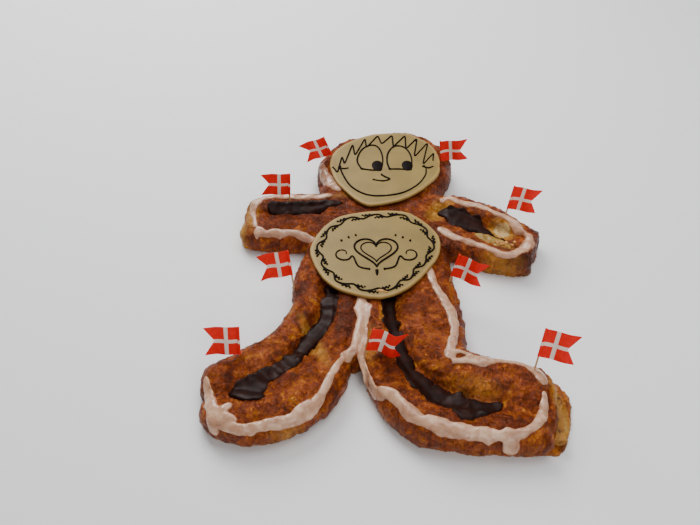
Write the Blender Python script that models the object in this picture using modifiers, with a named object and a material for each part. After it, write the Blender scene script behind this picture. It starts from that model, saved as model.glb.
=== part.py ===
"""A danish cake man: a flat figure of sweet pastry, lying on its back with its head towards +Y.

Each arm and leg is two long rolls of dough, side by side, with a channel between them.
Chocolate fills the channels and white icing runs along the edges. Two round plaques of
marzipan, one with a piped face, lie on the head and the belly, and paper flags on wooden
picks stand in the dough. Plans are written in millimetres, and MM turns them into metres.
"""
import math

import bmesh
import bpy
from mathutils import Matrix, Vector, noise
from mathutils.bvhtree import BVHTree

MM = 0.001

# Driving dimensions, in millimetres
GAP = 0.3
BULGE_HEIGHT = 14.0
BELOW_FLOOR = 7.0
TORSO_CREST = 33.0
HEAD_CREST = 34.0
PILLOW_ROUNDING = 20.0
PLAQUE_SEAT = 36.0
PLAQUE_THICKNESS = 4.2
PLAQUE_ROUNDING = 1.3
PIPING_RADIUS = 0.85
PUPIL_HEIGHT = 1.4
ICING_THICKNESS = 3.3
CHOCOLATE_THICKNESS = 3.6
POURED_SUNK = 1.8
POURED_CLEARANCE = 0.5
CLEAR_OF_FLOOR = 2.0
STICK_RADIUS = 1.0
STICK_SUNK = 20.0
STICK_POINT = 7.0
FLAG_WIDTH = 37.5
FLAG_HOIST = 33.0
FLAG_NOTCH = 11.0
PAPER_THICKNESS = 0.5

# Lumps and folds of the crust: how far they stand out and how far apart they are
LUMP_HEIGHT = 1.5
LUMP_SPACING = 24.0
FOLD_HEIGHT = 0.7
FOLD_SPACING = 13.0

# How finely things are built: spacing of points along a line, sides of a roll, voxels of what
# is grown together, triangles of the dough, and the area of a triangle of icing
ROLL_STEP = 6.0
ROLL_SIDES = 16
PILLOW_STEP = 8.0
PLAQUE_STEP = 11.0
PIPING_STEP = 9.0
STROKE_STEP = 9.0
CUSTARD_STEP = 12.0
PAPER_COLUMNS = 3
VOXEL = 2.6
SMOOTHING_ROUNDS = 4
DOUGH_TRIANGLES = 5400
POURED_VOXEL = 1.4
POURED_FACET = 46.0

# The plan below is drawn from the middle of the photographed figure. This moves it so that
# the origin is under the middle of the whole object.
PLAN_SHIFT = (-1.1, -4.5)
FAR = 400.0

# Rolls of dough: points of (x, y, half width, crest height), then the length of the round
# at the far end. The near end of each roll is buried in the torso.
LEFT_LEG_ROLLS = (
    ([(-70, 50, 22, 32), (-78, 15, 20, 34), (-88, -20, 20, 35), (-92, -48, 19, 35), (-92, -73, 18, 35),
      (-106, -109, 18, 35), (-118, -131, 20, 35), (-134, -149, 25, 36), (-158, -170, 27, 36),
      (-202, -190, 24, 33)], 20),
    ([(-40, 10, 17, 32), (-45, -60, 17, 34), (-47, -100, 18, 35), (-59, -140, 20, 36), (-73, -179, 27, 36),
      (-105, -213, 28, 36), (-150, -226, 26.5, 35), (-198, -212, 19.5, 33)], 24),
    ([(-92, -150, 10, 28), (-104, -176, 13, 31), (-120, -195, 14, 31), (-138, -210, 10, 29)], 9),
    ([(-60, 0, 22, 21), (-68, -80, 20, 21), (-84, -120, 20, 21), (-106, -156, 22, 22), (-140, -190, 24, 23),
      (-172, -200, 22, 28), (-196, -203, 20, 30)], 14),
    ([(-33, -30, 16, 33), (-33, -90, 15, 33), (-36, -130, 15, 33), (-37, -145, 13, 32),
      (-37, -155, 11, 30)], 6),
)
RIGHT_LEG_ROLLS = (
    ([(-15, 10, 15, 32), (-14, -60, 15, 34), (-12, -110, 16, 35), (-8, -150, 18, 35), (5, -190, 23.5, 36),
      (33, -228, 22.5, 36), (72, -239, 21.5, 36), (112, -241.5, 21.5, 35), (145, -243, 21, 34),
      (166, -240, 19.5, 31)], 9),
    ([(45, 20, 36, 32), (48, -40, 39, 34), (52, -85, 40, 35), (53, -120, 38, 36), (67, -157, 29, 36),
      (98, -177.5, 31, 36), (137, -191, 35, 36), (172, -196, 32, 32)], 12),
    ([(5, 0, 18, 21), (5, -90, 18, 21), (12, -140, 18, 21), (32, -185, 20, 21), (65, -210, 22, 22),
      (100, -222, 22, 28), (150, -224, 20, 33)], 9),
    ([(90, -231, 8, 35), (112, -236, 8, 36), (132, -238, 8, 35)], 8),
)
LEFT_ARM_ROLLS = (
    ([(20, 108, 15, 33), (-20, 110, 16, 34), (-60, 111, 17, 34), (-110, 111, 18, 34), (-150, 106, 18, 34),
      (-180, 93, 18, 31)], 17),
    ([(0, 62, 26, 33), (-60, 60, 27, 34), (-110, 61, 27, 35), (-150, 62, 27, 35), (-185, 69.5, 25, 31)], 18),
    ([(20, 92, 16, 29), (-50, 94, 16, 24), (-100, 93, 16, 22), (-150, 92, 18, 23), (-166, 90, 17, 27),
      (-183, 86, 16, 28)], 14),
)
RIGHT_ARM_ROLLS = (
    ([(20, 108, 16, 33), (60, 110, 17, 34), (100, 106, 18, 34), (130, 96, 18, 34), (155, 80, 17, 33),
      (179, 60, 12.5, 33), (203, 40, 12.5, 31)], 11),
    ([(40, 60, 26, 33), (75, 50, 25, 34), (100, 36, 23, 34), (120, 25, 17.5, 34), (135, 15.5, 14.5, 34),
      (160, 8, 14.5, 33), (190, 6, 12, 30)], 12),
    ([(50, 85, 18, 27), (90, 80, 20, 24), (125, 58, 24, 22), (150, 43, 25, 22), (172, 34, 22, 25),
      (198, 24, 18, 28)], 10),
    ([(196, 46, 9, 33), (188, 28, 10, 33), (178, 8, 9, 32)], 6),
)
# The cut end of the right foot: a lip of bottom crust, and above the custard a folded layer
FOOT_END_ROLLS = (
    ([(172, -172, 12, 6), (183, -193, 14, 6.5), (178, -228, 12, 6.5), (163, -259, 10, 6)], 7),
    ([(170, -172, 7, 21), (173, -198, 6, 27), (167, -230, 6, 27), (158, -254, 7, 23)], 6),
)

HEAD_OUTLINE = [(103, 198), (94, 228), (76, 254), (44, 275), (8, 272), (-30, 258), (-60, 231), (-85, 205),
                (-88, 180), (-84, 148), (-75, 115), (0, 100), (70, 112), (88, 146), (102, 170)]
TORSO_OUTLINE = [(76, 30), (70, 70), (66, 118), (0, 124), (-66, 118), (-86, 80), (-90, 45), (-84, 0),
                 (-76, -45), (0, -55), (78, -45), (84, 0)]

# Plaques: centre, then the outline round it
FACE_CENTRE = (8, 171)
FACE_OUTLINE = [(78, 16), (70, 50), (50, 72), (31, 83), (1, 82), (-20, 78), (-48, 63), (-70, 40), (-78, 11),
                (-71, -24), (-58, -48), (-38, -73), (-20, -81), (16, -71), (41, -55), (60, -35), (74, -14)]
BELLY_CENTRE = (-9, 1)
BELLY_OUTLINE = [(81, 18), (77, 36), (62, 58), (43, 74), (18, 78), (-16, 75), (-46, 66), (-65, 48), (-78, 23),
                 (-82, -1), (-70, -36), (-53, -58), (-31, -70), (-1, -77), (23, -70), (43, -55), (62, -31),
                 (77, -6)]

# Lines piped on the face, measured from the middle of the plaque
FACE_LINES = (
    [(-33, -5), (-39, 12), (-37, 29), (-30, 44), (-20, 51), (-11, 49), (-5, 36), (-3, 15), (-6, -8)],
    [(-34, -4), (-21, -7), (-6, -8)],
    [(6, -5), (3, 12), (5, 32), (13, 47), (24, 49), (33, 40), (38, 20), (36, -7)],
    [(5, -5), (21, -5), (36, -7)],
    [(-6, -17), (-1, -22), (5, -27), (-4, -31), (-19, -28)],
    [(-64, 2), (-59, -18), (-48, -43), (-30, -59), (-9, -63), (20, -57), (42, -40), (55, -18), (57, 0)],
    [(52, 2), (60, -2), (68, 2)],
    [(-66, 0), (-59, -4), (-51, -2)],
)
HAIR_POINTS = [(-74, 0), (-67, -11), (-61, 22), (-57, 9), (-46, 51), (-42, 29), (-28, 65), (-25, 48),
               (-9, 73), (-3, 56), (12, 74), (14, 50), (31, 73), (32, 45), (48, 66), (43, 26), (63, 55),
               (54, 8), (70, 31), (68, 14)]
PUPILS = [(-11, 3), (31, 3)]
PUPIL_SIZE = (7.2, 10.5)

# The belly's border: a wavy vine with a leaf at each wave, and a piped heart in the middle
VINE_INSET = 11.0
VINE_WAVES = 16
VINE_SWING = 2.4
VINE_POINTS_PER_WAVE = 4
LEAF_REACH = 5.0
HEART_SIZE = 27.0
HEART_POINTS = 18

# Strokes of icing and chocolate: points of (x, y, half width) or, where a drip runs down a
# side, of (x, y, half width, height). The first stroke of each is round at both ends, and the
# others start inside it.
ICING_STROKES = {
    "icing_head": [
        [(-83, 196, 4), (-81, 182, 6), (-78, 165, 8), (-71, 148, 9), (-63, 136, 7), (-52, 128, 6)],
    ],
    "icing_left_arm": [
        [(-64, 117, 4), (-80, 114, 4.5), (-100, 113, 5), (-120, 113, 5.5), (-140, 113.5, 5.5),
         (-153, 112, 5.5), (-163, 107, 6), (-170, 98, 6.5), (-171, 88, 5), (-168, 77, 3.2), (-166, 64, 3),
         (-164, 52, 5)],
        [(-165, 50, 6), (-156, 44, 7.5), (-140, 43, 6.5), (-120, 43, 6.5), (-104, 41, 6.5), (-92, 35, 6)],
        [(-161, 43, 5, 36), (-163, 37, 3.6, 31), (-164, 33, 2, 25)],
        [(-132, 42, 6, 36), (-131, 37, 4.6, 31), (-131, 33, 2.5, 25)],
    ],
    "icing_right_arm": [
        [(80, 100, 4), (84, 108, 4.5), (92, 110, 5), (101, 104, 5.5), (112, 99, 7), (122, 97.5, 7),
         (131, 94, 6.5), (140, 87.5, 5.5), (150, 80, 4.5), (160, 74, 4), (168, 67, 5), (174, 59, 8),
         (177, 51, 7), (184, 46, 4), (187, 38, 5), (184, 26, 9), (178, 16, 9), (169, 8, 6), (160, 3, 6),
         (150, 3.5, 5.5), (140, 8, 6), (130, 14, 6), (120, 19.5, 5.5), (110, 24, 6.5), (100, 29.5, 6.5),
         (90, 34.5, 7.5), (80, 43, 8), (71, 51, 7)],
    ],
    "icing_legs": [
        [(-28, -62, 6), (-28, -74, 6), (-27, -85, 10.5), (-26, -95, 8.5), (-26.5, -104, 7), (-29, -114, 7),
         (-31, -124, 6.5), (-34, -134, 5.5), (-37, -144, 5), (-43, -152, 6), (-49, -160, 7.5),
         (-51, -163, 6.5)],
        [(-50, -160, 3), (-56, -171, 3.8), (-61, -182, 4.5), (-65, -192, 4.7), (-69, -202, 5.2),
         (-74, -212, 6.5), (-81, -221, 8.5), (-91, -229, 9), (-102, -236, 8.5), (-113, -240, 7.5),
         (-125, -242, 6.5), (-137, -244.5, 6), (-149, -246.5, 6.2), (-159, -245, 6.5), (-168, -240, 7.5),
         (-177, -232, 8.5), (-184, -222, 8), (-188, -211, 7), (-191, -201, 6), (-194, -190, 4.5),
         (-195, -181, 3)],
        [(-27, -116, 5), (-25.5, -130, 3.5), (-28, -141, 3.8), (-30, -152, 4.6), (-31, -162, 4.6),
         (-29, -173, 4.6), (-26, -184, 4.6), (-21, -194, 6), (-11, -201, 7), (1, -207, 6.5), (10, -217, 7),
         (19, -229, 9.5), (30, -238, 7.5), (42, -242, 8.5), (56, -248, 9), (70, -251, 8.5), (84, -253, 7.5),
         (95, -254, 7.5), (106, -255, 5.5), (116, -254, 7.5), (127, -254, 6), (137, -250, 4.5),
         (147, -243, 5), (156, -230, 5.5), (161, -216, 5), (162, -206, 4), (162, -200, 3)],
        [(-176, -229, 6), (-169, -223, 5), (-162, -218, 4.5)],
        [(-172, -232, 5), (-162, -235, 4), (-155, -238, 2)],
        [(-186, -214, 5, 34), (-192, -216, 4.5, 30), (-196, -218, 3, 25)],
        [(-181, -232, 8, 36), (-182, -240, 7.5, 30), (-181, -246, 6.5, 20), (-179, -249, 5, 12)],
        [(116, -254, 8, 35), (117, -260, 8, 27), (118, -264, 7, 18), (118, -265, 5, 10)],
        [(96, -254, 7, 35), (97, -259, 6, 28), (97, -262, 4, 21)],
    ],
    "icing_right_hip": [
        [(54, -15, 5), (57, -38, 5), (60, -50, 5), (64, -62, 5.2), (69, -74, 6), (73, -84, 7), (76, -95, 7),
         (77, -106, 6.7), (76.5, -118, 5.5), (75.5, -127, 5), (72, -137, 5.3), (69, -148, 6), (67, -158, 7),
         (67, -165, 6.5)],
        [(68, -154, 3), (77, -152, 2.8), (86, -154, 3), (95, -160, 4)],
        [(67, -166, 4), (78, -165, 3.6), (88, -163, 7), (98, -163.5, 7.5), (108, -163.5, 7), (118, -163, 4.5),
         (128, -163.5, 3), (138, -165, 3.5), (147, -168, 4.5), (154, -173, 6), (161, -180, 7.5),
         (164, -188, 7), (162, -195, 4)],
    ],
}
CHOCOLATE_STROKES = {
    "chocolate_left_leg": [
        [(-63, -42, 8), (-64, -60, 8), (-66, -75, 9.5), (-67, -90, 8.5), (-71, -101, 9), (-79, -114, 9),
         (-91, -134, 7.5), (-98, -148, 7.5), (-107, -161, 9.5), (-119, -172, 7.5), (-132, -182, 9),
         (-142, -191, 12), (-148, -200, 16), (-150, -207, 15)],
        [(-105, -156, 7), (-99, -166, 6)],
    ],
    "chocolate_right_leg": [
        [(3, -50, 8), (3, -80, 8), (5, -100, 8.5), (9, -120, 8), (13, -140, 8.5), (16, -155, 10),
         (21, -169, 9), (28, -180, 9), (37, -192, 10), (48, -205, 11), (61, -214.5, 12), (78, -222.5, 12),
         (92, -224, 11), (104, -222, 7), (113, -219, 3.5)],
    ],
    "chocolate_left_arm": [
        [(-153, 95, 7), (-140, 94, 9.5), (-120, 94, 9), (-100, 96, 9), (-80, 98, 8), (-65, 100, 5),
         (-50, 102, 2.5)],
    ],
    "chocolate_right_arm": [
        [(74, 89, 4), (82, 88.5, 6), (92, 85, 11), (102, 77, 15.5), (112, 72, 13.5), (122, 68, 12),
         (129, 61, 8.5), (136, 52, 7.5), (141, 45, 6.5), (147, 39, 5.5), (155, 38.5, 4.5), (160, 39, 3)],
    ],
}

# Custard: points of (x, y, half width), its two heights, and how high its pocket is cut. The
# pocket in the arm is open upwards; the one in the foot opens at the end of the roll.
CUSTARDS = {
    "custard_right_foot": (
        [(60, -196, 14), (90, -212, 22), (130, -219, 26), (182, -224, 28)], 7.2, 16.5, 16.5),
    "custard_right_arm": (
        [(118, 42, 6), (130, 36, 10), (141, 28, 12), (153, 21, 10), (162, 18, 6)], 12.0, 26.5, 50.0),
}

# Flags: foot on the dough (x, y, z), lean to +X and to +Y in degrees, length of stick above
# the foot, side that the flag flies to, its turn about the stick in degrees, depth of its wave
FLAGS = {
    "head_left": ((-66, 203, 32), -19, -4, 40, -1, -4, 1.5),
    "head_right": ((90, 194, 28), -7, 2, 39, 1, -4, 1.5),
    "left_arm": ((-123, 105, 33), 3, 3, 45, -1, -6, 1.0),
    "left_hip": ((-109, -49, 31), -7, 17, 48, -1, -10, 2.0),
    "right_arm": ((163, 76, 32), 10, 12, 45, 1, -3, 1.5),
    "right_hip": ((80, -37, 31), 12, 6, 38, 1, -21, 2.0),
    "left_foot": ((-162, -157, 33), 0, 24, 36, -1, -2, 1.5),
    "crotch": ((-25, -154, 31), 12, 4, 43.5, 1, -7, 4.0),
    "right_foot": ((156, -177, 34), 11, 25, 51, 1, -14, 1.5),
}
STICKS_THROUGH_ICING = {"right_foot": "icing_right_hip", "right_arm": "icing_right_arm",
                        "crotch": "icing_legs"}

COLOURS = {
    "pastry": ((0.36, 0.13, 0.035), 0.55),
    "custard": ((0.62, 0.42, 0.07), 0.35),
    "icing": ((0.62, 0.50, 0.45), 0.35),
    "chocolate": ((0.030, 0.014, 0.009), 0.28),
    "plaque": ((0.56, 0.44, 0.24), 0.6),
    "flag": ((0.62, 0.03, 0.02), 0.7),
    "stick": ((0.66, 0.42, 0.20), 0.75),
}


def clear_scene():
    """Remove what a new file holds."""
    for thing in list(bpy.data.objects):
        bpy.data.objects.remove(thing, do_unlink=True)


def new_collection(name):
    """A collection in the scene."""
    collection = bpy.data.collections.new(name)
    bpy.context.scene.collection.children.link(collection)
    return collection


def new_object(name, mesh_data, collection):
    """An object in one collection only."""
    thing = bpy.data.objects.new(name, mesh_data)
    collection.objects.link(thing)
    return thing


def remove_object(thing):
    """Remove an object and its data."""
    data = thing.data
    bpy.data.objects.remove(thing, do_unlink=True)
    if isinstance(data, bpy.types.Mesh):
        bpy.data.meshes.remove(data)


def make_material(name):
    """One Principled material from the table of colours."""
    colour, roughness = COLOURS[name]
    material = bpy.data.materials.new(name)
    material.use_nodes = True
    shader = material.node_tree.nodes["Principled BSDF"]
    shader.inputs["Base Color"].default_value = (*colour, 1.0)
    shader.inputs["Roughness"].default_value = roughness
    shader.inputs["Metallic"].default_value = 0.0
    material.diffuse_color = (*colour, 1.0)
    return material


def baked(thing):
    """Replace an object's mesh by its evaluated mesh, and drop its modifiers."""
    depsgraph = bpy.context.evaluated_depsgraph_get()
    mesh_data = bpy.data.meshes.new_from_object(thing.evaluated_get(depsgraph))
    thing.modifiers.clear()
    thing.data = mesh_data
    return thing


def signed_power(value, power):
    """A power that keeps the sign."""
    return math.copysign(abs(value) ** power, value)


def spline(points, step, cyclic=False):
    """A smooth curve through the points, with a point about every step millimetres."""
    count = len(points)
    spans = count if cyclic else count - 1
    result = []
    for i in range(spans):
        if cyclic:
            four = [points[(i + k) % count] for k in (-1, 0, 1, 2)]
        else:
            four = [points[min(max(i + k, 0), count - 1)] for k in (-1, 0, 1, 2)]
        before, start, end, after = four
        pieces = max(1, round(math.dist(start[:2], end[:2]) / step))
        for j in range(pieces):
            t = j / pieces
            result.append(tuple(
                0.5 * (2 * b + (c - a) * t + (2 * a - 5 * b + 4 * c - d) * t * t
                       + (3 * b - a - 3 * c + d) * t ** 3)
                for a, b, c, d in zip(before, start, end, after)))
    if not cyclic:
        result.append(tuple(float(value) for value in points[-1]))
    return result


def loft(rings):
    """A closed bmesh through rings of points with the same number in each."""
    mesh = bmesh.new()
    loops = [[mesh.verts.new(point) for point in ring] for ring in rings]
    for first, second in zip(loops, loops[1:]):
        for i in range(len(first)):
            j = (i + 1) % len(first)
            mesh.faces.new((first[i], first[j], second[j], second[i]))
    mesh.faces.new(list(reversed(loops[0])))
    mesh.faces.new(loops[-1])
    bmesh.ops.recalc_face_normals(mesh, faces=mesh.faces)
    return mesh


def bmesh_object(name, mesh, collection):
    """Turn a bmesh into an object."""
    mesh_data = bpy.data.meshes.new(name)
    mesh.to_mesh(mesh_data)
    mesh.free()
    return new_object(name, mesh_data, collection)


def run_length(points):
    """Distance along the points to each of them."""
    total = 0.0
    lengths = [0.0]
    for first, second in zip(points, points[1:]):
        total += math.dist(first[:2], second[:2])
        lengths.append(total)
    return lengths


def direction_at(path, i):
    """The level direction of a path at one of its points."""
    ahead = path[min(i + 1, len(path) - 1)]
    behind = path[max(i - 1, 0)]
    return Vector((ahead[0] - behind[0], ahead[1] - behind[1])).normalized()


def rounded_share(left_over, end_round, least):
    """How wide a roll or stroke still is near its round end, as a share of its full width."""
    if left_over >= end_round:
        return 1.0
    return max(least, math.sqrt(max(0.0, 1.0 - (1.0 - left_over / end_round) ** 2)))


def roll_section(half_width, crest, share):
    """The section of a roll as (across, z): flat below the floor and round on top."""
    bulge = min(BULGE_HEIGHT, 0.45 * crest)
    section = []
    for k in range(ROLL_SIDES):
        turn = math.tau * k / ROLL_SIDES
        rise = math.sin(turn)
        if rise >= 0:
            z = bulge + (crest - bulge) * share * rise ** 0.9
        else:
            z = bulge + (bulge + BELOW_FLOOR) * rise
        section.append((half_width * share * signed_power(math.cos(turn), 0.75), z))
    return section


def roll_rings(points, end_round):
    """Rings of a roll of dough along its points."""
    path = spline(points, ROLL_STEP)
    lengths = run_length(path)
    rings = []
    for i, (x, y, half_width, crest) in enumerate(path):
        tangent = direction_at(path, i)
        share = rounded_share(lengths[-1] - lengths[i], end_round, 0.12)
        rings.append([Vector((x - tangent.y * across, y + tangent.x * across, z)) * MM
                      for across, z in roll_section(half_width, crest, share)])
    return rings


def pillow_rings(outline, crest):
    """Rings of a flat-topped cushion of dough over a closed outline."""
    edge = spline(outline, PILLOW_STEP, cyclic=True)
    middle_x = sum(point[0] for point in edge) / len(edge)
    middle_y = sum(point[1] for point in edge) / len(edge)
    levels = [(0.3, -BELOW_FLOOR)]
    for degrees in (0, 25, 50, 70, 82):
        turn = math.radians(degrees)
        levels.append((1.0 - math.cos(turn), BULGE_HEIGHT + (crest - BULGE_HEIGHT) * math.sin(turn)))
    levels.append((1.5, crest))
    rings = []
    for inset, z in levels:
        ring = []
        for x, y in edge:
            reach = Vector((x - middle_x, y - middle_y))
            reach *= 1.0 - inset * PILLOW_ROUNDING / reach.length
            ring.append(Vector((middle_x + reach.x, middle_y + reach.y, z)) * MM)
        rings.append(ring)
    return rings


def dough_relief(point):
    """How far the baked crust stands out at a point, in metres."""
    lumps = noise.noise(point / (LUMP_SPACING * MM))
    folds = 1.0 - 3.0 * abs(noise.noise(point / (FOLD_SPACING * MM) + Vector((3.1, 7.7, 1.3))))
    return (LUMP_HEIGHT * lumps + FOLD_HEIGHT * max(folds, -0.5)) * MM


def grown_together(name, ring_sets, voxel, smoothing, collection):
    """One smooth body grown from lofts that overlap."""
    joined = bmesh.new()
    for rings in ring_sets:
        piece = loft(rings)
        piece_data = bpy.data.meshes.new("piece")
        piece.to_mesh(piece_data)
        piece.free()
        joined.from_mesh(piece_data)
        bpy.data.meshes.remove(piece_data)
    body = bmesh_object(name, joined, collection)
    remesh = body.modifiers.new("grow_together", "REMESH")
    remesh.mode = "VOXEL"
    remesh.voxel_size = voxel * MM
    smooth = body.modifiers.new("soften", "SMOOTH")
    smooth.factor = 0.5
    smooth.iterations = smoothing
    baked(body)
    body.data.calc_loop_triangles()
    return body


def make_dough(parts, cutters):
    """The whole man of dough in one body, with a flat underside at the floor."""
    legs = LEFT_LEG_ROLLS + RIGHT_LEG_ROLLS + FOOT_END_ROLLS
    arms = LEFT_ARM_ROLLS + RIGHT_ARM_ROLLS
    ring_sets = [roll_rings(points, end_round) for points, end_round in legs + arms]
    ring_sets.append(pillow_rings(HEAD_OUTLINE, HEAD_CREST))
    ring_sets.append(pillow_rings(TORSO_OUTLINE, TORSO_CREST))
    dough = grown_together("pastry_man", ring_sets, VOXEL, SMOOTHING_ROUNDS, parts)
    normals = [vertex.normal.copy() for vertex in dough.data.vertices]
    for vertex, normal in zip(dough.data.vertices, normals):
        vertex.co += normal * dough_relief(vertex.co)

    decimate = dough.modifiers.new("fewer_faces", "DECIMATE")
    decimate.ratio = DOUGH_TRIANGLES / len(dough.data.loop_triangles)
    cut(dough, as_cutter(box_object("below_floor", (-FAR, -FAR, -FAR), (FAR, FAR, 0), cutters)))
    return baked(dough)


def swollen_dough(dough, cutters):
    """A cutter a little larger than the dough."""
    skin = as_cutter(new_object("dough_skin", dough.data.copy(), cutters))
    swell = skin.modifiers.new("clearance", "DISPLACE")
    swell.strength = POURED_CLEARANCE * MM
    swell.mid_level = 0.0
    return skin


def box_object(name, low, high, collection):
    """A box between two corners given in millimetres."""
    mesh = bmesh.new()
    bmesh.ops.create_cube(mesh, size=1.0)
    for vertex in mesh.verts:
        for axis in range(3):
            vertex.co[axis] = (low[axis] if vertex.co[axis] < 0 else high[axis]) * MM
    return bmesh_object(name, mesh, collection)


def as_cutter(thing):
    """Mark an object that only cuts or guides."""
    thing.hide_render = True
    thing.display_type = "WIRE"
    return thing


def cut(target, cutter, operation="DIFFERENCE"):
    """A Boolean that stays on the target."""
    modifier = target.modifiers.new(operation.lower() + "_" + cutter.name, "BOOLEAN")
    modifier.operation = operation
    modifier.solver = "EXACT"
    modifier.object = cutter
    return modifier


def outline_solid(name, outline, centre, levels, collection):
    """A solid over a smooth closed outline, from levels of (growth outwards, z)."""
    edge = spline(outline, PLAQUE_STEP, cyclic=True)
    rings = []
    for growth, z in levels:
        ring = []
        for x, y in edge:
            share = 1.0 + growth / math.hypot(x, y)
            ring.append(Vector((centre[0] + x * share, centre[1] + y * share, z)) * MM)
        rings.append(ring)
    return bmesh_object(name, loft(rings), collection)


def pressed_point(tree, point, direction):
    """Where a line through a point, along a direction, meets the dough."""
    start = point + direction * HEAD_CREST / 2 * MM
    hit, _, _, _ = tree.ray_cast(start, -direction, HEAD_CREST * MM)
    if hit is None:
        hit, _, _, _ = tree.find_nearest(point)
    return hit


def path_on_dough(tree, stroke):
    """Points of a stroke on the dough, each with the direction out of the dough and a half width."""
    stations = []
    full = [point if len(point) == 4 else (*point, 0.0) for point in stroke]
    for x, y, half_width, height in spline(full, STROKE_STEP):
        if height < BULGE_HEIGHT / 2:
            hit, normal, _, _ = tree.ray_cast(Vector((x, y, FAR)) * MM, Vector((0, 0, -1)))
        else:
            hit, normal, _, _ = tree.find_nearest(Vector((x, y, height)) * MM)
        if hit is not None:
            stations.append((hit, normal, half_width))
    softened = []
    for i, (hit, _, half_width) in enumerate(stations):
        near = stations[max(0, i - 2):i + 3]
        normal = sum((station[1] for station in near), Vector((0, 0, 0.2))).normalized()
        softened.append((hit, normal, half_width))
    return softened


def stroke_rings(tree, stroke, thickness, starts_buried):
    """Rings of a poured stroke that lies on the dough and dips a little into it."""
    section = ((-1.0, 0.6), (-0.4, 1.0), (0.4, 1.0), (1.0, 0.6))
    end_round = 5.0
    stations = path_on_dough(tree, stroke)
    points = [station[0] for station in stations]
    lengths = [0.0]
    for first, second in zip(points, points[1:]):
        lengths.append(lengths[-1] + (second - first).length / MM)
    rings = []
    for i, (hit, normal, half_width) in enumerate(stations):
        tangent = points[min(i + 1, len(points) - 1)] - points[max(i - 1, 0)]
        side = normal.cross(tangent).normalized()
        to_end = lengths[-1] - lengths[i]
        if not starts_buried:
            to_end = min(to_end, lengths[i])
        share = rounded_share(to_end, end_round, 0.45)
        top = []
        bottom = []
        for across, height in section:
            base = pressed_point(tree, hit + side * across * half_width * share * MM, normal)
            top.append(base + normal * thickness * height * (0.6 + 0.4 * share) * MM)
            bottom.append(base - normal * POURED_SUNK * MM)
        rings.append(top + bottom[::-1])
    return rings


def loose_pieces(mesh):
    """The separate pieces of a bmesh, each as a set of vertices."""
    left = set(mesh.verts)
    pieces = []
    while left:
        piece = {left.pop()}
        frontier = list(piece)
        while frontier:
            vertex = frontier.pop()
            for edge in vertex.link_edges:
                other = edge.other_vert(vertex)
                if other in left:
                    left.remove(other)
                    piece.add(other)
                    frontier.append(other)
        pieces.append(piece)
    return pieces


def drop_scraps(thing):
    """Keep the largest loose piece of an object's mesh."""
    mesh = bmesh.new()
    mesh.from_mesh(thing.data)
    largest = max(loose_pieces(mesh), key=len)
    scraps = [vertex for vertex in mesh.verts if vertex not in largest]
    bmesh.ops.delete(mesh, geom=scraps, context="VERTS")
    mesh.to_mesh(thing.data)
    mesh.free()


def poured(name, strokes, thickness, dough_tree, clearances, parts):
    """One poured piece of icing or chocolate: its strokes grown together and fitted to the dough."""
    ring_sets = [stroke_rings(dough_tree, stroke, thickness, i > 0) for i, stroke in enumerate(strokes)]
    body = grown_together(name, ring_sets, POURED_VOXEL, 1, parts)
    area = sum(polygon.area for polygon in body.data.polygons)
    decimate = body.modifiers.new("fewer_faces", "DECIMATE")
    decimate.ratio = area / (POURED_FACET * MM * MM) / len(body.data.loop_triangles)
    for clearance in clearances:
        cut(body, clearance)
    baked(body)
    drop_scraps(body)
    return body


def curve_to_mesh(name, curve, collection):
    """Turn a curve into a mesh object whose caps are joined to its walls."""
    wire = bpy.data.objects.new(name, curve)
    collection.objects.link(wire)
    depsgraph = bpy.context.evaluated_depsgraph_get()
    mesh_data = bpy.data.meshes.new_from_object(wire.evaluated_get(depsgraph))
    mesh = bmesh.new()
    mesh.from_mesh(mesh_data)
    bmesh.ops.remove_doubles(mesh, verts=mesh.verts, dist=0.01 * MM)
    bmesh.ops.recalc_face_normals(mesh, faces=mesh.faces)
    bpy.data.objects.remove(wire, do_unlink=True)
    bpy.data.curves.remove(curve)
    return bmesh_object(name, mesh, collection)


def piping(name, points, centre, collection, radius=PIPING_RADIUS, cyclic=False, taper=0.0):
    """A thread of piped chocolate on a plaque, half sunk in it."""
    curve = bpy.data.curves.new(name, "CURVE")
    curve.dimensions = "3D"
    curve.bevel_depth = radius * MM
    curve.bevel_resolution = 0
    curve.use_fill_caps = True
    line = curve.splines.new("POLY")
    line.points.add(len(points) - 1)
    height = PLAQUE_SEAT + PLAQUE_THICKNESS
    for i, (x, y) in enumerate(points):
        line.points[i].co = ((centre[0] + x) * MM, (centre[1] + y) * MM, height * MM, 1.0)
        line.points[i].radius = 1.0 - taper * i / (len(points) - 1)
    line.use_cyclic_u = cyclic
    return curve_to_mesh(name, curve, collection)


def plaque_body(name, outline, centre, collection):
    """A flat disc of rolled marzipan with soft edges."""
    top = PLAQUE_SEAT + PLAQUE_THICKNESS
    levels = ((-0.6 * PLAQUE_ROUNDING, PLAQUE_SEAT), (0.0, PLAQUE_SEAT + PLAQUE_ROUNDING),
              (-0.25 * PLAQUE_ROUNDING, top - 0.6 * PLAQUE_ROUNDING), (-PLAQUE_ROUNDING, top))
    return outline_solid(name, outline, centre, levels, collection)


def fused(body, toppings):
    """Join toppings to a body with one Boolean union on their collection."""
    modifier = body.modifiers.new("fuse_toppings", "BOOLEAN")
    modifier.operation = "UNION"
    modifier.solver = "EXACT"
    modifier.operand_type = "COLLECTION"
    modifier.collection = toppings
    baked(body)
    for topping in list(toppings.objects):
        remove_object(topping)
    bpy.data.collections.remove(toppings)
    return body


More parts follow.
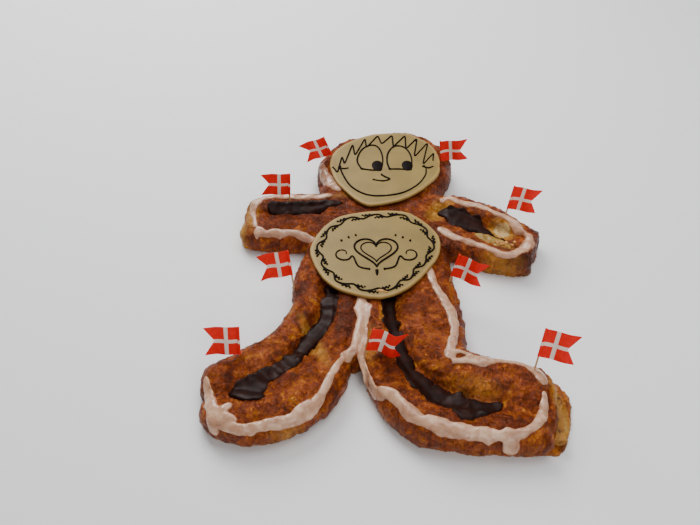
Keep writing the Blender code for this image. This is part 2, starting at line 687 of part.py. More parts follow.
def pupil(place, toppings):
    """A flat oval drop of chocolate."""
    mesh = bmesh.new()
    bmesh.ops.create_cone(mesh, cap_ends=True, segments=18, radius1=1.0, radius2=0.8, depth=2.0)
    for vertex in mesh.verts:
        vertex.co.x = (FACE_CENTRE[0] + place[0] + vertex.co.x * PUPIL_SIZE[0]) * MM
        vertex.co.y = (FACE_CENTRE[1] + place[1] + vertex.co.y * PUPIL_SIZE[1]) * MM
        vertex.co.z = (PLAQUE_SEAT + PLAQUE_THICKNESS + vertex.co.z * PUPIL_HEIGHT) * MM
    return bmesh_object("pupil", mesh, toppings)


def face_plaque(parts):
    """The plaque on the head, with its piped face."""
    body = plaque_body("plaque_face", FACE_OUTLINE, FACE_CENTRE, parts)
    toppings = new_collection("face_toppings")
    for line in FACE_LINES:
        piping("face_line", spline(line, PIPING_STEP), FACE_CENTRE, toppings)
    piping("hair_line", HAIR_POINTS, FACE_CENTRE, toppings)
    for place in PUPILS:
        pupil(place, toppings)
    return fused(body, toppings)


def outline_radius(outline, turn):
    """How far a smooth outline reaches from its middle in one direction."""
    def turn_from(point):
        return abs(math.remainder(math.atan2(point[1], point[0]) - turn, math.tau))
    return math.hypot(*min(spline(outline, 3.0, cyclic=True), key=turn_from))


def vine_point(turn, swing):
    """A point of the belly's border, a swing to either side of its middle line."""
    reach = outline_radius(BELLY_OUTLINE, turn) - VINE_INSET + swing
    return (reach * math.cos(turn), reach * math.sin(turn))


def vine_toppings(toppings):
    """The wavy border with a leaf on the outer side of each wave and one on the inner side."""
    count = VINE_WAVES * VINE_POINTS_PER_WAVE
    wave = []
    for i in range(count):
        turn = math.tau * i / count
        wave.append(vine_point(turn, VINE_SWING * math.sin(VINE_WAVES * turn)))
    piping("vine", wave, BELLY_CENTRE, toppings, cyclic=True)
    for i in range(VINE_WAVES):
        direction = 1.0 if i % 2 else -1.0
        turn = math.tau * (i + 0.5 + 0.25 * direction) / VINE_WAVES
        root = vine_point(turn, -direction * VINE_SWING)
        tip = vine_point(turn + 0.09, direction * LEAF_REACH)
        piping("leaf", [root, tip], BELLY_CENTRE, toppings, radius=1.25 * PIPING_RADIUS, taper=0.6)


def heart_point(turn):
    """A point of a heart drawn round the middle of the belly."""
    x = 16.0 * math.sin(turn) ** 3
    y = 13.0 * math.cos(turn) - 5.0 * math.cos(2 * turn) - 2.0 * math.cos(3 * turn) - math.cos(4 * turn)
    return (x * HEART_SIZE / 16.0, y * HEART_SIZE / 16.0 + 2.0)


def heart_toppings(toppings):
    """A piped heart with a curl on each side."""
    heart = [heart_point(math.tau * i / HEART_POINTS) for i in range(HEART_POINTS)]
    piping("heart", heart, BELLY_CENTRE, toppings, cyclic=True)
    for side in (-1.0, 1.0):
        curl = []
        for i in range(10):
            turn = 0.5 * i
            reach = 12.0 - 1.0 * i
            curl.append((side * (47.0 - reach * math.cos(turn)), 2.0 + reach * math.sin(turn)))
        piping("curl", curl, BELLY_CENTRE, toppings)


def belly_plaque(parts):
    """The plaque on the belly, with a piped border and heart."""
    body = plaque_body("plaque_belly", BELLY_OUTLINE, BELLY_CENTRE, parts)
    toppings = new_collection("belly_toppings")
    vine_toppings(toppings)
    heart_toppings(toppings)
    return fused(body, toppings)


def custard_body(name, points, low, high, spread, collection):
    """A flat band of custard, grown outwards by spread millimetres on all sides."""
    path = spline(points, CUSTARD_STEP)
    rings = []
    for i, (x, y, half_width) in enumerate(path):
        tangent = direction_at(path, i)
        along = {0: -spread, len(path) - 1: spread}.get(i, 0.0)
        wide = half_width + spread
        corners = ((-wide, low - spread), (wide, low - spread), (wide, high + spread), (-wide, high + spread))
        rings.append([Vector((x + tangent.x * along - tangent.y * across,
                              y + tangent.y * along + tangent.x * across, z)) * MM for across, z in corners])
    return bmesh_object(name, loft(rings), collection)


def flag_matrix(foot, lean_x, lean_y, side, turn):
    """Place of a flag: +Z up its stick and +X the way it flies."""
    up = Vector((math.tan(math.radians(lean_x)), math.tan(math.radians(lean_y)), 1.0)).normalized()
    fly = Vector((side * math.cos(math.radians(turn)), math.sin(math.radians(turn)), 0.0))
    fly = (fly - up * fly.dot(up)).normalized()
    across = up.cross(fly)
    matrix = Matrix((fly, across, up)).transposed().to_4x4()
    matrix.translation = Vector(foot) * MM
    return matrix


def stick_rings(length, spread=0.0):
    """Rings of a wooden pick with a point below and a blunt top."""
    levels = ((-STICK_SUNK - spread, 0.35), (STICK_POINT - STICK_SUNK, 1.0), (length - 1.0, 1.0),
              (length, 0.7))
    return [round_ring(STICK_RADIUS * share + spread, z) for z, share in levels]


def round_ring(radius, z, sides=6):
    """A level ring of points about the Z axis."""
    turns = [math.tau * k / sides for k in range(sides)]
    return [Vector((radius * math.cos(turn), radius * math.sin(turn), z)) * MM for turn in turns]


def paper_wave(x, wave):
    """How far the paper swings to its side at a distance from the stick."""
    return wave * math.sin(1.1 * math.tau * x / FLAG_WIDTH) * min(1.0, 2.0 * x / FLAG_WIDTH)


def paper_ring(reach, z, wave):
    """The outline of a flag at one height: round the stick, out along one side and back."""
    sleeve = STICK_RADIUS + GAP + PAPER_THICKNESS
    start = sleeve + 1.0
    sheet = [(start, 0.0)]
    for i in range(1, PAPER_COLUMNS + 1):
        x = start + (FLAG_WIDTH - FLAG_NOTCH - 2.0 - start) * i / PAPER_COLUMNS
        sheet.append((x, paper_wave(x, wave)))
    tail_start, tail_y = sheet[-1]
    slope = (paper_wave(FLAG_WIDTH, wave) - tail_y) / (FLAG_WIDTH - tail_start)
    sheet.append((reach, tail_y + slope * (reach - tail_start)))
    half = 0.5 * PAPER_THICKNESS
    turns = [math.radians(degrees) for degrees in (40, 96, 152, 208, 264, 320)]
    outline = [(sleeve * math.cos(turn), sleeve * math.sin(turn)) for turn in turns]
    outline += [(x, y - half) for x, y in sheet]
    outline += [(x, y + half) for x, y in reversed(sheet)]
    return [Vector((x, y, z)) * MM for x, y in outline]


def paper_flag(name, length, wave, collection):
    """A swallow-tailed paper flag, wrapped round its stick and waving a little."""
    rings = []
    for row in (0.0, 0.5, 1.0):
        reach = FLAG_WIDTH - FLAG_NOTCH * (1.0 - abs(2.0 * row - 1.0))
        rings.append(paper_ring(reach, length - FLAG_HOIST * (1.0 - row), wave))
    paper = bmesh_object(name, loft(rings), collection)
    bore_rings = [round_ring(STICK_RADIUS + GAP, length + z) for z in (-FLAG_HOIST - 2.0, 2.0)]
    bore = bmesh_object("bore_" + name, loft(bore_rings), collection)
    cut(paper, bore)
    baked(paper)
    remove_object(bore)
    return paper


def make_flag(name, parts, cutters):
    """One flag: its stick, its paper and the cutter for the stick's hole."""
    foot, lean_x, lean_y, length, side, turn, wave = FLAGS[name]
    stick = bmesh_object("stick_" + name, loft(stick_rings(length - 0.5)), parts)
    paper = paper_flag("flag_" + name, length, wave, parts)
    hole = as_cutter(bmesh_object("hole_" + name, loft(stick_rings(length, GAP)), cutters))
    matrix = flag_matrix(foot, lean_x, lean_y, side, turn)
    for thing in (stick, hole):
        thing.location = matrix.to_translation()
        thing.rotation_euler = matrix.to_euler()
    paper.parent = stick
    return stick, paper, hole


def dress(thing, material, crease):
    """Give an object its material, smooth but for edges sharper than crease degrees."""
    thing.data.materials.clear()
    thing.data.materials.append(material)
    thing.data.shade_smooth()
    thing.data.set_sharp_from_angle(angle=math.radians(crease))


def seat_plaques(dough, cutters):
    """Flatten the dough under the plaques, and return what the icing keeps out of."""
    columns = []
    plans = {"face": (FACE_OUTLINE, FACE_CENTRE), "belly": (BELLY_OUTLINE, BELLY_CENTRE)}
    seat_levels = ((GAP, PLAQUE_SEAT - GAP), (GAP, FAR))
    column_levels = ((GAP, 0.0), (GAP, FAR))
    for name, (outline, centre) in plans.items():
        cut(dough, as_cutter(outline_solid("seat_" + name, outline, centre, seat_levels, cutters)))
        columns.append(as_cutter(outline_solid("column_" + name, outline, centre, column_levels, cutters)))
    return columns


def add_custards(dough, parts, cutters):
    """The bands of custard, and the pockets that they lie in."""
    custards = []
    pockets = []
    for name, (points, low, high, pocket_high) in CUSTARDS.items():
        custards.append(custard_body(name, points, low, high, 0.0, parts))
        pockets.append(as_cutter(custard_body("pocket_" + name, points, low, pocket_high, GAP, cutters)))
        cut(dough, pockets[-1])
    return custards, pockets


def add_flags(dough, parts, cutters):
    """The flags on their sticks, with their holes in the dough and in the icing."""
    sticks = []
    papers = []
    for name in FLAGS:
        stick, paper, hole = make_flag(name, parts, cutters)
        sticks.append(stick)
        papers.append(paper)
        cut(dough, hole)
        if name in STICKS_THROUGH_ICING:
            cut(parts.objects[STICKS_THROUGH_ICING[name]], hole)
    return sticks, papers


def main():
    """Build the whole man."""
    clear_scene()
    parts = new_collection("cake_man")
    cutters = new_collection("cutters")

    plaques = [face_plaque(parts), belly_plaque(parts)]
    dough = make_dough(parts, cutters)
    dough_tree = BVHTree.FromObject(dough, bpy.context.evaluated_depsgraph_get())
    near_floor = box_object("near_floor", (-FAR, -FAR, -FAR), (FAR, FAR, CLEAR_OF_FLOOR), cutters)
    clearances = [swollen_dough(dough, cutters), as_cutter(near_floor)]
    clearances += seat_plaques(dough, cutters)
    custards, pockets = add_custards(dough, parts, cutters)
    clearances += pockets
    icings = [poured(name, strokes, ICING_THICKNESS, dough_tree, clearances, parts)
              for name, strokes in ICING_STROKES.items()]
    chocolates = [poured(name, strokes, CHOCOLATE_THICKNESS, dough_tree, clearances, parts)
                  for name, strokes in CHOCOLATE_STROKES.items()]
    sticks, papers = add_flags(dough, parts, cutters)

    dressed = {"pastry": [dough], "custard": custards, "icing": icings, "chocolate": chocolates,
               "plaque": plaques, "flag": papers, "stick": sticks}
    for slot, things in dressed.items():
        material = make_material(slot)
        for thing in things:
            dress(thing, material, 25 if slot == "plaque" else 50)

    middle = bpy.data.objects.new("middle_of_plan", None)
    parts.objects.link(middle)
    middle.location = (PLAN_SHIFT[0] * MM, PLAN_SHIFT[1] * MM, 0.0)
    for thing in list(parts.objects) + list(cutters.objects):
        if thing is not middle and thing.parent is None:
            thing.parent = middle


main()
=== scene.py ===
"""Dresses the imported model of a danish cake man: baked dough, icing, chocolate, marzipan, flags.

Plans are in millimetres from the middle of the figure, as the solids were drawn. A piece is turned
into metres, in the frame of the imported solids, when it is finished.
"""
import math
import random

import bmesh
import bpy
import numpy as np
from mathutils import Matrix, Vector, noise
from mathutils.bvhtree import BVHTree


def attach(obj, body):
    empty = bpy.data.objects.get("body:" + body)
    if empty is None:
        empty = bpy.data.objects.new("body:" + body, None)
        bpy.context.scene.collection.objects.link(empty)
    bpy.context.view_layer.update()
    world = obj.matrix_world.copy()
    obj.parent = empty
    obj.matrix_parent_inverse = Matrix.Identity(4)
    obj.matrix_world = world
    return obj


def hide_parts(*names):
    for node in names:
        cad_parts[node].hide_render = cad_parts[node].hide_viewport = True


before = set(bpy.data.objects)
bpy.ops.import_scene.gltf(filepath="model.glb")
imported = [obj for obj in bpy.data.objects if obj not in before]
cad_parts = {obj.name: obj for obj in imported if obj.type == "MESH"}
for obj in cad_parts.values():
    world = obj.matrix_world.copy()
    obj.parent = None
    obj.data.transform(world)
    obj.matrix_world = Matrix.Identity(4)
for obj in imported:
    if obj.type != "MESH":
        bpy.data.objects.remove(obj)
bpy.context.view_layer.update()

MM = 0.001
PLAN_SHIFT = (-1.1, -4.5)
PLAN_TO_FRAME = Matrix.Translation((PLAN_SHIFT[0] * MM, PLAN_SHIFT[1] * MM, 0.0)) @ Matrix.Scale(MM, 4)
FAR = 400.0
UP = Vector((0.0, 0.0, 1.0))
DOWN = Vector((0.0, 0.0, -1.0))

# Sizes shared with the solids, in millimetres
BULGE_HEIGHT = 14.0
BULGE_SHARE = 0.45
BELOW_FLOOR = 7.0
TORSO_CREST = 33.0
HEAD_CREST = 34.0
PILLOW_ROUNDING = 20.0
PLAQUE_SEAT = 36.0
PLAQUE_TOP = 40.2
LUMP_HEIGHT = 1.5
LUMP_SPACING = 24.0
FOLD_HEIGHT = 0.7
FOLD_SPACING = 13.0
STICK_RADIUS = 1.0
STICK_SUNK = 20.0
FLAG_WIDTH = 37.5
FLAG_HOIST = 33.0
FLAG_NOTCH = 11.0

# How finely things are built: distances in millimetres, numbers of sides, rounds of smoothing
DOUGH_VOXEL = 1.7
DOUGH_SMOOTHING = 5
POURED_VOXEL = 0.95
ICING_SMOOTHING = 3
CHOCOLATE_SMOOTHING = 8
CUSTARD_VOXEL = 1.2
PATH_STEP = 3.0
PILLOW_STEP = 4.0
CUSTARD_STEP = 6.0
STROKE_STEP = 1.6
PLAQUE_STEP = 2.2
THREAD_STEP = 1.3
ROLL_SIDES = 28
STROKE_COLUMNS = 13
THREAD_SIDES = 8
STICK_SIDES = 14
FLAG_COLUMNS = 36
FLAG_ROWS = 24

# Rolls of dough: how narrow their tips get, and the powers that square their section
ROLL_LEAST_SHARE = 0.12
ROLL_TOP_POWER = 0.9
ROLL_SIDE_POWER = 0.75
ROLL_SWELL, ROLL_SWELL_SPACING = 0.035, 11.0

# Relief of the crust: heights and spacings in millimetres
SWELL_HEIGHT, SWELL_SPACING = 1.3, 11.0
WARP, WARP_SPACING = 2.5, 9.0
WRINKLE_HEIGHT, WRINKLE_SPACING = 0.55, 5.5
FLAKE_HEIGHT, FLAKE_SPACING = 0.75, 26.0
FLAKE_LAYERS = 3.2
BLISTER_HEIGHT, BLISTER_SPACING = 2.0, 7.5
LAYER_HEIGHT, LAYER_SPACING, LAYER_LENGTH = 0.75, 5.2, 17.0

# How far apart the rolls lie along the pattern of the crust, so that no two look the same
FLOW_GAP = 300.0

# Room round the custard in the foot, and how high the crust is pale above the floor
POCKET_ROOM = 0.3
PALE_FOOT_HEIGHT = 9.0

# Poured strokes. A point of a stroke higher than this is on a drip down the side
LEAST_DRIP_HEIGHT = 2.0
ICING_THICKNESS, ICING_SPREAD, ICING_WOBBLE = 2.3, 1.03, 0.7
CHOCOLATE_THICKNESS, CHOCOLATE_SPREAD, CHOCOLATE_FILL = 2.6, 1.15, 0.7
ICING_LEVELLING = 4
CHOCOLATE_LEVELLING = 12
STROKE_END = 6.0
STROKE_LEAST_SHARE = 0.3
STROKE_ROOT = 1.6
PROBE_HEIGHT = 12.0
NORMAL_REACH = 9.0
RIPPLE_HEIGHT, RIPPLE_SPACING = 0.22, 6.0

# How uneven a stroke is: shares of its half width or thickness, and millimetres between changes
SHIFT_SHARE, SHIFT_SPACING = 0.18, 13.0
WIDTH_SHARE, WIDTH_SPACING = 0.34, 10.0
RAGGED_SHARE, RAGGED_SPACING = 0.16, 3.6
THICKNESS_SHARE, THICKNESS_SPACING = 0.22, 8.0

# Where the veil on the head's icing ends
HEAD_VEIL_END, HEAD_VEIL_FADE = 150.0, 20.0

# Plaques: how far each ring of the rim stands outside the outline and above the seat, then the
# rings of the top as shares of the outline
PLAQUE_RIM = ((-6.0, 0.0), (-1.5, 0.02), (-0.5, 0.25), (0.0, 1.1), (0.05, 2.1), (-0.2, 3.1), (-0.7, 3.75),
              (-1.5, 4.1), (-2.6, 4.2))
PLAQUE_SHARES = (0.93, 0.86, 0.78, 0.7, 0.6, 0.5, 0.4, 0.3, 0.2, 0.1, 0.03)
PLAQUE_RIM_WIDTH = 3.2
SAG_HEIGHT, SAG_SPACING = 0.22, 30.0
FACE_NICK = (77, 5)
NICK_REACH, NICK_DEPTH = 7.0, 1.3

# Piped threads
DROP_LENGTH = 1.8
THREAD_TIP_SHARE = 0.35
PUPIL_SIZE = (7.8, 11.3)
PUPIL_HEIGHT = 1.5

# The belly's border; a leaf is its share of the branch, its side and its reach
VINE_WAVES = 13
VINE_DIRECTIONS = 180
VINE_POINTS = 240
VINE_INSET = 11.0
VINE_RADIUS = 1.2
BRANCH_RADIUS = 1.05
BRANCH_SPAN = 0.40
LEAF_RADIUS = 1.5
LEAVES = ((0.30, 1.0, 1.7), (0.48, -1.0, 1.4), (0.66, 1.0, 1.7), (0.82, -1.0, 1.4), (1.0, 1.0, 1.7))

# The double heart as (size, thread radius), and the drops beside it
HEARTS = ((27.0, 1.3), (19.0, 0.9))
HEART_DROPS = ((24, 30), (33, 26), (42, 20))

# Crumbs, and the flake on the belly plaque as (x, y, size, place in the noise)
CRUMB_SEED = 11
CRUMB_COUNT = 26
ARM_CUSTARD_TOP = 29.0
FALLEN_FLAKE = ((-4.0, -65.0, (4.6, 2.6, 0.7), (2.0, 5.0, 1.0)),
                (1.0, -67.5, (2.0, 1.4, 0.6), (7.0, 1.0, 3.0)))

# Flags
PAPER_THICKNESS = 0.3
SLEEVE_ROOM = 0.25
SLEEVE_STEPS = 17
SLEEVE_TURN = 20.0
FLAG_START = 1.6
FLAG_CREASE = 50

# Rolls of dough: points of (x, y, half width, crest height), then the length of the round end
ROLLS = (
    # left leg
    ([(-70, 50, 22, 32), (-78, 15, 20, 34), (-88, -20, 20, 35), (-92, -48, 19, 35), (-92, -73, 18, 35),
      (-106, -109, 18, 35), (-118, -131, 20, 35), (-134, -149, 25, 36), (-158, -170, 27, 36),
      (-202, -190, 24, 33)], 20),
    ([(-40, 10, 17, 32), (-45, -60, 17, 34), (-47, -100, 18, 35), (-59, -140, 20, 36), (-73, -179, 27, 36),
      (-105, -213, 28, 36), (-150, -226, 26.5, 35), (-198, -212, 19.5, 33)], 24),
    ([(-92, -150, 10, 28), (-104, -176, 13, 31), (-120, -195, 14, 31), (-138, -210, 10, 29)], 9),
    ([(-60, 0, 22, 21), (-68, -80, 20, 21), (-84, -120, 20, 21), (-106, -156, 22, 22), (-140, -190, 24, 23),
      (-172, -200, 22, 28), (-196, -203, 20, 30)], 14),
    ([(-33, -30, 16, 33), (-33, -90, 15, 33), (-36, -130, 15, 33), (-37, -145, 13, 32),
      (-37, -155, 11, 30)], 6),
    # right leg
    ([(-15, 10, 15, 32), (-14, -60, 15, 34), (-12, -110, 16, 35), (-8, -150, 18, 35), (5, -190, 23.5, 36),
      (33, -228, 22.5, 36), (72, -239, 21.5, 36), (112, -241.5, 21.5, 35), (145, -243, 21, 34),
      (166, -240, 19.5, 31)], 9),
    ([(45, 20, 36, 32), (48, -40, 39, 34), (52, -85, 40, 35), (53, -120, 38, 36), (67, -157, 29, 36),
      (98, -177.5, 31, 36), (137, -191, 35, 36), (172, -196, 32, 32)], 12),
    ([(5, 0, 18, 21), (5, -90, 18, 21), (12, -140, 18, 21), (32, -185, 20, 21), (65, -210, 22, 22),
      (100, -222, 22, 28), (150, -224, 20, 33)], 9),
    ([(90, -231, 8, 35), (112, -236, 8, 36), (132, -238, 8, 35)], 8),
    # left arm
    ([(20, 108, 15, 33), (-20, 110, 16, 34), (-60, 111, 17, 34), (-110, 111, 18, 34), (-150, 106, 18, 34),
      (-180, 93, 18, 31)], 17),
    ([(0, 62, 26, 33), (-60, 60, 27, 34), (-110, 61, 27, 35), (-150, 62, 27, 35), (-185, 69.5, 25, 31)], 18),
    ([(20, 92, 16, 29), (-50, 94, 16, 24), (-100, 93, 16, 22), (-150, 92, 18, 23), (-166, 90, 17, 27),
      (-183, 86, 16, 28)], 14),
    # right arm
    ([(20, 108, 16, 33), (60, 110, 17, 34), (100, 106, 18, 34), (130, 96, 18, 34), (155, 80, 17, 33),
      (179, 60, 12.5, 33), (203, 40, 12.5, 31)], 11),
    ([(40, 60, 26, 33), (75, 50, 25, 34), (100, 36, 23, 34), (120, 25, 17.5, 34), (135, 15.5, 14.5, 34),
      (160, 8, 14.5, 33), (190, 6, 12, 30)], 12),
    ([(50, 85, 18, 27), (90, 80, 20, 24), (125, 58, 24, 22), (150, 43, 25, 22), (172, 34, 22, 25),
      (198, 24, 18, 28)], 10),
    ([(196, 46, 9, 33), (188, 28, 10, 33), (178, 8, 9, 32)], 6),
    # cut end of the right foot
    ([(172, -172, 12, 6), (183, -193, 14, 6.5), (178, -228, 12, 6.5), (163, -259, 10, 6)], 7),
    ([(170, -172, 7, 21), (173, -198, 6, 27), (167, -230, 6, 27), (158, -254, 7, 23)], 6),
    # crust that rose beyond the plaque on the head
    ([(-74, 206, 8, 33), (-58, 227, 8, 35), (-40, 242, 8, 35.5), (-16, 248, 7, 30)], 6),
    ([(42, 252, 7, 30), (57, 251, 7, 34.5), (75, 237, 8, 35), (92, 217, 8, 35), (99, 194, 8, 33)], 6),
)
HEAD_OUTLINE = [(103, 198), (94, 228), (76, 254), (44, 275), (8, 272), (-30, 258), (-60, 231), (-85, 205),
                (-88, 180), (-84, 148), (-75, 115), (0, 100), (70, 112), (88, 146), (102, 170)]
TORSO_OUTLINE = [(76, 30), (70, 70), (66, 118), (0, 124), (-66, 118), (-86, 80), (-90, 45), (-84, 0),
                 (-76, -45), (0, -55), (78, -45), (84, 0)]

FACE_CENTRE = (8, 171)
FACE_OUTLINE = [(78, 16), (70, 50), (50, 72), (31, 83), (1, 82), (-20, 78), (-48, 63), (-70, 40), (-78, 11),
                (-71, -24), (-58, -48), (-38, -73), (-20, -81), (16, -71), (41, -55), (60, -35), (74, -14)]
BELLY_CENTRE = (-9, 1)
BELLY_OUTLINE = [(81, 18), (77, 36), (62, 58), (43, 74), (18, 78), (-16, 75), (-46, 66), (-65, 48),
                 (-78, 23), (-82, -1), (-70, -36), (-53, -58), (-31, -70), (-1, -77), (23, -70),
                 (43, -55), (62, -31), (77, -6)]
FACE_LINES = (
    [(-33, -5), (-39, 12), (-37, 29), (-30, 44), (-20, 51), (-11, 49), (-5, 36), (-3, 15), (-6, -8)],
    [(-34, -4), (-21, -7), (-6, -8)],
    [(6, -5), (3, 12), (5, 32), (13, 47), (24, 49), (33, 40), (38, 20), (36, -7)],
    [(5, -5), (21, -5), (36, -7)],
    [(-6, -17), (-1, -22), (5, -27), (-4, -31), (-19, -28)],
    [(-64, 2), (-59, -18), (-48, -43), (-30, -59), (-9, -63), (20, -57), (42, -40), (55, -18), (57, 0)],
    [(52, 2), (60, -2), (68, 2)],
    [(-66, 0), (-59, -4), (-51, -2)],
)
FACE_DROPS = [(-33, -5), (5, -5), (-7, -17), (-18, -28), (53, 2), (-65, 1), (46, 62)]
HAIR_POINTS = [(-74, 0), (-67, -11), (-61, 22), (-57, 9), (-46, 51), (-42, 29), (-28, 65), (-25, 48),
               (-9, 73), (-3, 56), (12, 74), (14, 50), (31, 73), (32, 45), (48, 66), (43, 26), (63, 55),
               (54, 8), (70, 31), (68, 14)]
PUPILS = [(-11, 3), (31, 3)]

# Strokes of icing and chocolate: points of (x, y, half width), with a height where a drip runs down
ICING_STROKES = {
    "icing_head": [
        [(-83, 196, 4), (-81, 182, 6), (-78, 165, 8), (-71, 148, 9), (-63, 136, 7), (-52, 128, 6)],
    ],
    "icing_left_arm": [
        [(-64, 117, 4), (-80, 114, 4.5), (-100, 113, 5), (-120, 113, 5.5), (-140, 113.5, 5.5),
         (-153, 112, 5.5), (-163, 107, 6), (-170, 98, 6.5), (-171, 88, 5), (-168, 77, 3.2), (-166, 64, 3),
         (-164, 52, 5)],
        [(-165, 50, 5.5), (-156, 45, 6.5), (-148, 43, 5), (-140, 44, 5.5), (-128, 42, 6.5), (-118, 44, 4.8),
         (-104, 41, 5.5), (-92, 36, 5), (-84, 30, 4)],
        [(-161, 43, 5, 36), (-163, 37, 3.6, 31), (-164, 33, 2, 25)],
        [(-132, 42, 6, 36), (-131, 37, 4.6, 31), (-131, 33, 2.5, 25)],
        [(-147, 43, 4, 36), (-147, 38, 3.4, 32), (-147, 35.5, 2, 28)],
    ],
    "icing_right_arm": [
        [(80, 100, 3.6), (84, 108, 4), (92, 110, 4.4), (101, 104, 4.6), (112, 99, 5.4), (122, 97.5, 5),
         (131, 94, 4.6), (140, 87.5, 4.2), (150, 80, 3.8), (160, 74, 3.8), (168, 67, 5), (174, 59, 7.5),
         (177, 51, 6.5), (184, 46, 4), (187, 38, 5), (184, 26, 8.5), (178, 16, 8.5), (169, 8, 6),
         (160, 3, 5.4), (150, 3.5, 4.6), (140, 8, 4.6), (130, 14, 4.6), (120, 19.5, 4.4), (110, 24, 4.6),
         (100, 29.5, 4.8), (90, 34.5, 5.4), (80, 43, 6), (71, 51, 5.4)],
    ],
    "icing_legs": [
        [(-28, -62, 6), (-28, -74, 6), (-27, -85, 10.5), (-26, -95, 8.5), (-26.5, -104, 7), (-29, -114, 7),
         (-31, -124, 6.5), (-34, -134, 5.5), (-37, -144, 5), (-43, -152, 6), (-49, -160, 7.5),
         (-51, -163, 6.5)],
        [(-50, -160, 3), (-56, -171, 3.8), (-61, -182, 4.5), (-65, -192, 4.7), (-69, -202, 5.2),
         (-74, -212, 6.5), (-81, -221, 8.5), (-91, -229, 9), (-102, -236, 8.5), (-113, -240, 7.5),
         (-125, -242, 6.5), (-137, -244.5, 6), (-149, -246.5, 6.2), (-159, -245, 6.5), (-168, -240, 7.5),
         (-177, -232, 8.5), (-184, -222, 8), (-188, -211, 7), (-191, -201, 6), (-194, -190, 4.5),
         (-195, -181, 3)],
        [(-27, -116, 5), (-25.5, -130, 3.5), (-28, -141, 3.8), (-30, -152, 4.6), (-31, -162, 4.6),
         (-29, -173, 4.6), (-26, -184, 4.6), (-21, -194, 6), (-11, -201, 7), (1, -207, 6.5), (10, -217, 7),
         (19, -229, 9.5), (30, -238, 7.5), (42, -242, 8.5), (56, -248, 9), (70, -251, 8.5), (84, -253, 7.5),
         (95, -254, 7.5), (106, -255, 5.5), (116, -254, 7.5), (127, -254, 6), (137, -250, 4.5),
         (147, -243, 5), (156, -230, 5.5), (161, -216, 5), (162, -206, 4), (162, -200, 3)],
        [(-176, -229, 6), (-169, -223, 5), (-162, -218, 4.5)],
        [(-172, -232, 5), (-162, -235, 4), (-155, -238, 2)],
        [(-186, -214, 5, 34), (-192, -216, 4.5, 30), (-196, -218, 3, 25)],
        [(-181, -232, 8, 36), (-182, -240, 7.5, 30), (-181, -246, 6.5, 20), (-179, -249, 5, 12)],
        [(118, -253, 9, 35), (119, -260, 9, 27), (120, -265, 8.5, 18), (121, -267, 7.5, 9),
         (121, -267, 7, 3)],
        [(96, -254, 7, 35), (97, -259, 6, 28), (97, -262, 4, 21)],
    ],
    "icing_right_hip": [
        [(54, -15, 5), (57, -38, 5), (60, -50, 5), (64, -62, 5.2), (69, -74, 6), (73, -84, 7), (76, -95, 7),
         (77, -106, 6.7), (76.5, -118, 5.5), (75.5, -127, 5), (72, -137, 5.3), (69, -148, 6), (67, -158, 7),
         (67, -165, 6.5)],
        [(68, -154, 3), (77, -152, 2.8), (86, -154, 3), (95, -160, 4)],
        [(67, -166, 4), (78, -165, 3.6), (88, -163, 7), (98, -163.5, 7.5), (108, -163.5, 7),
         (118, -163, 4.5), (128, -163.5, 3), (138, -165, 3.5), (147, -168, 4.5), (154, -173, 6),
         (161, -180, 7.5), (164, -188, 7), (162, -195, 4)],
    ],
}

# How uneven the edges of each piece of chocolate are
CHOCOLATE_WOBBLES = {"chocolate_left_arm": 0.6, "chocolate_right_arm": 0.8, "chocolate_left_leg": 0.9,
                     "chocolate_right_leg": 1.5}

# How greyed by its thinness each piece of icing is
ICING_VEILS = {"icing_head": 0.7, "icing_left_arm": 0.25, "icing_right_arm": 0.05, "icing_right_hip": 0.15}

CHOCOLATE_STROKES = {
    "chocolate_left_leg": [
        [(-63, -42, 8), (-64, -60, 8), (-66, -75, 9.5), (-67, -90, 8.5), (-71, -101, 9), (-79, -114, 9),
         (-91, -134, 7.5), (-98, -148, 7.5), (-107, -161, 9.5), (-119, -172, 7.5), (-132, -182, 9),
         (-142, -191, 12), (-147, -200, 16), (-150, -210, 15), (-151, -217, 11)],
        [(-105, -156, 7), (-99, -166, 6)],
    ],
    "chocolate_right_leg": [
        [(3, -50, 8), (3, -80, 8), (5, -100, 8.5), (9, -120, 8), (13, -140, 8.5), (16, -155, 10),
         (21, -169, 9.5), (28, -180, 10.5), (37, -191, 12.5), (48, -203, 14.5), (61, -212.5, 16),
         (78, -220.5, 15), (92, -222.5, 12), (104, -221, 8), (113, -218, 4.5), (119, -216, 2.5)],
    ],
    "chocolate_left_arm": [
        [(-153, 95, 7), (-140, 94, 9.5), (-120, 94, 9), (-100, 96, 9), (-80, 98, 8), (-65, 100, 5),
         (-50, 102, 2.5)],
    ],
    "chocolate_right_arm": [
        [(74, 89, 4), (82, 88.5, 6), (92, 85, 11), (102, 77, 15.5), (112, 72, 13.5), (122, 68, 12),
         (129, 61, 8.5), (136, 52, 7.5), (141, 45, 6.5), (147, 39, 5.5), (155, 38.5, 4.5), (160, 39, 3)],
    ],
}

# Custard: points of (x, y, half width), then the heights of its underside and its top
CUSTARDS = {
    "custard_right_foot": (
        [(60, -196, 14), (90, -212, 22), (130, -219, 26), (182, -224, 28)], 7.2, 16.5),
    "custard_right_arm": (
        [(118, 42, 6), (130, 36, 10), (141, 28, 12), (153, 21, 10), (162, 18, 6)], 12.0, 29.0),
}
CUSTARD_BROWNING = {"custard_right_foot": 0.9, "custard_right_arm": 0.25}

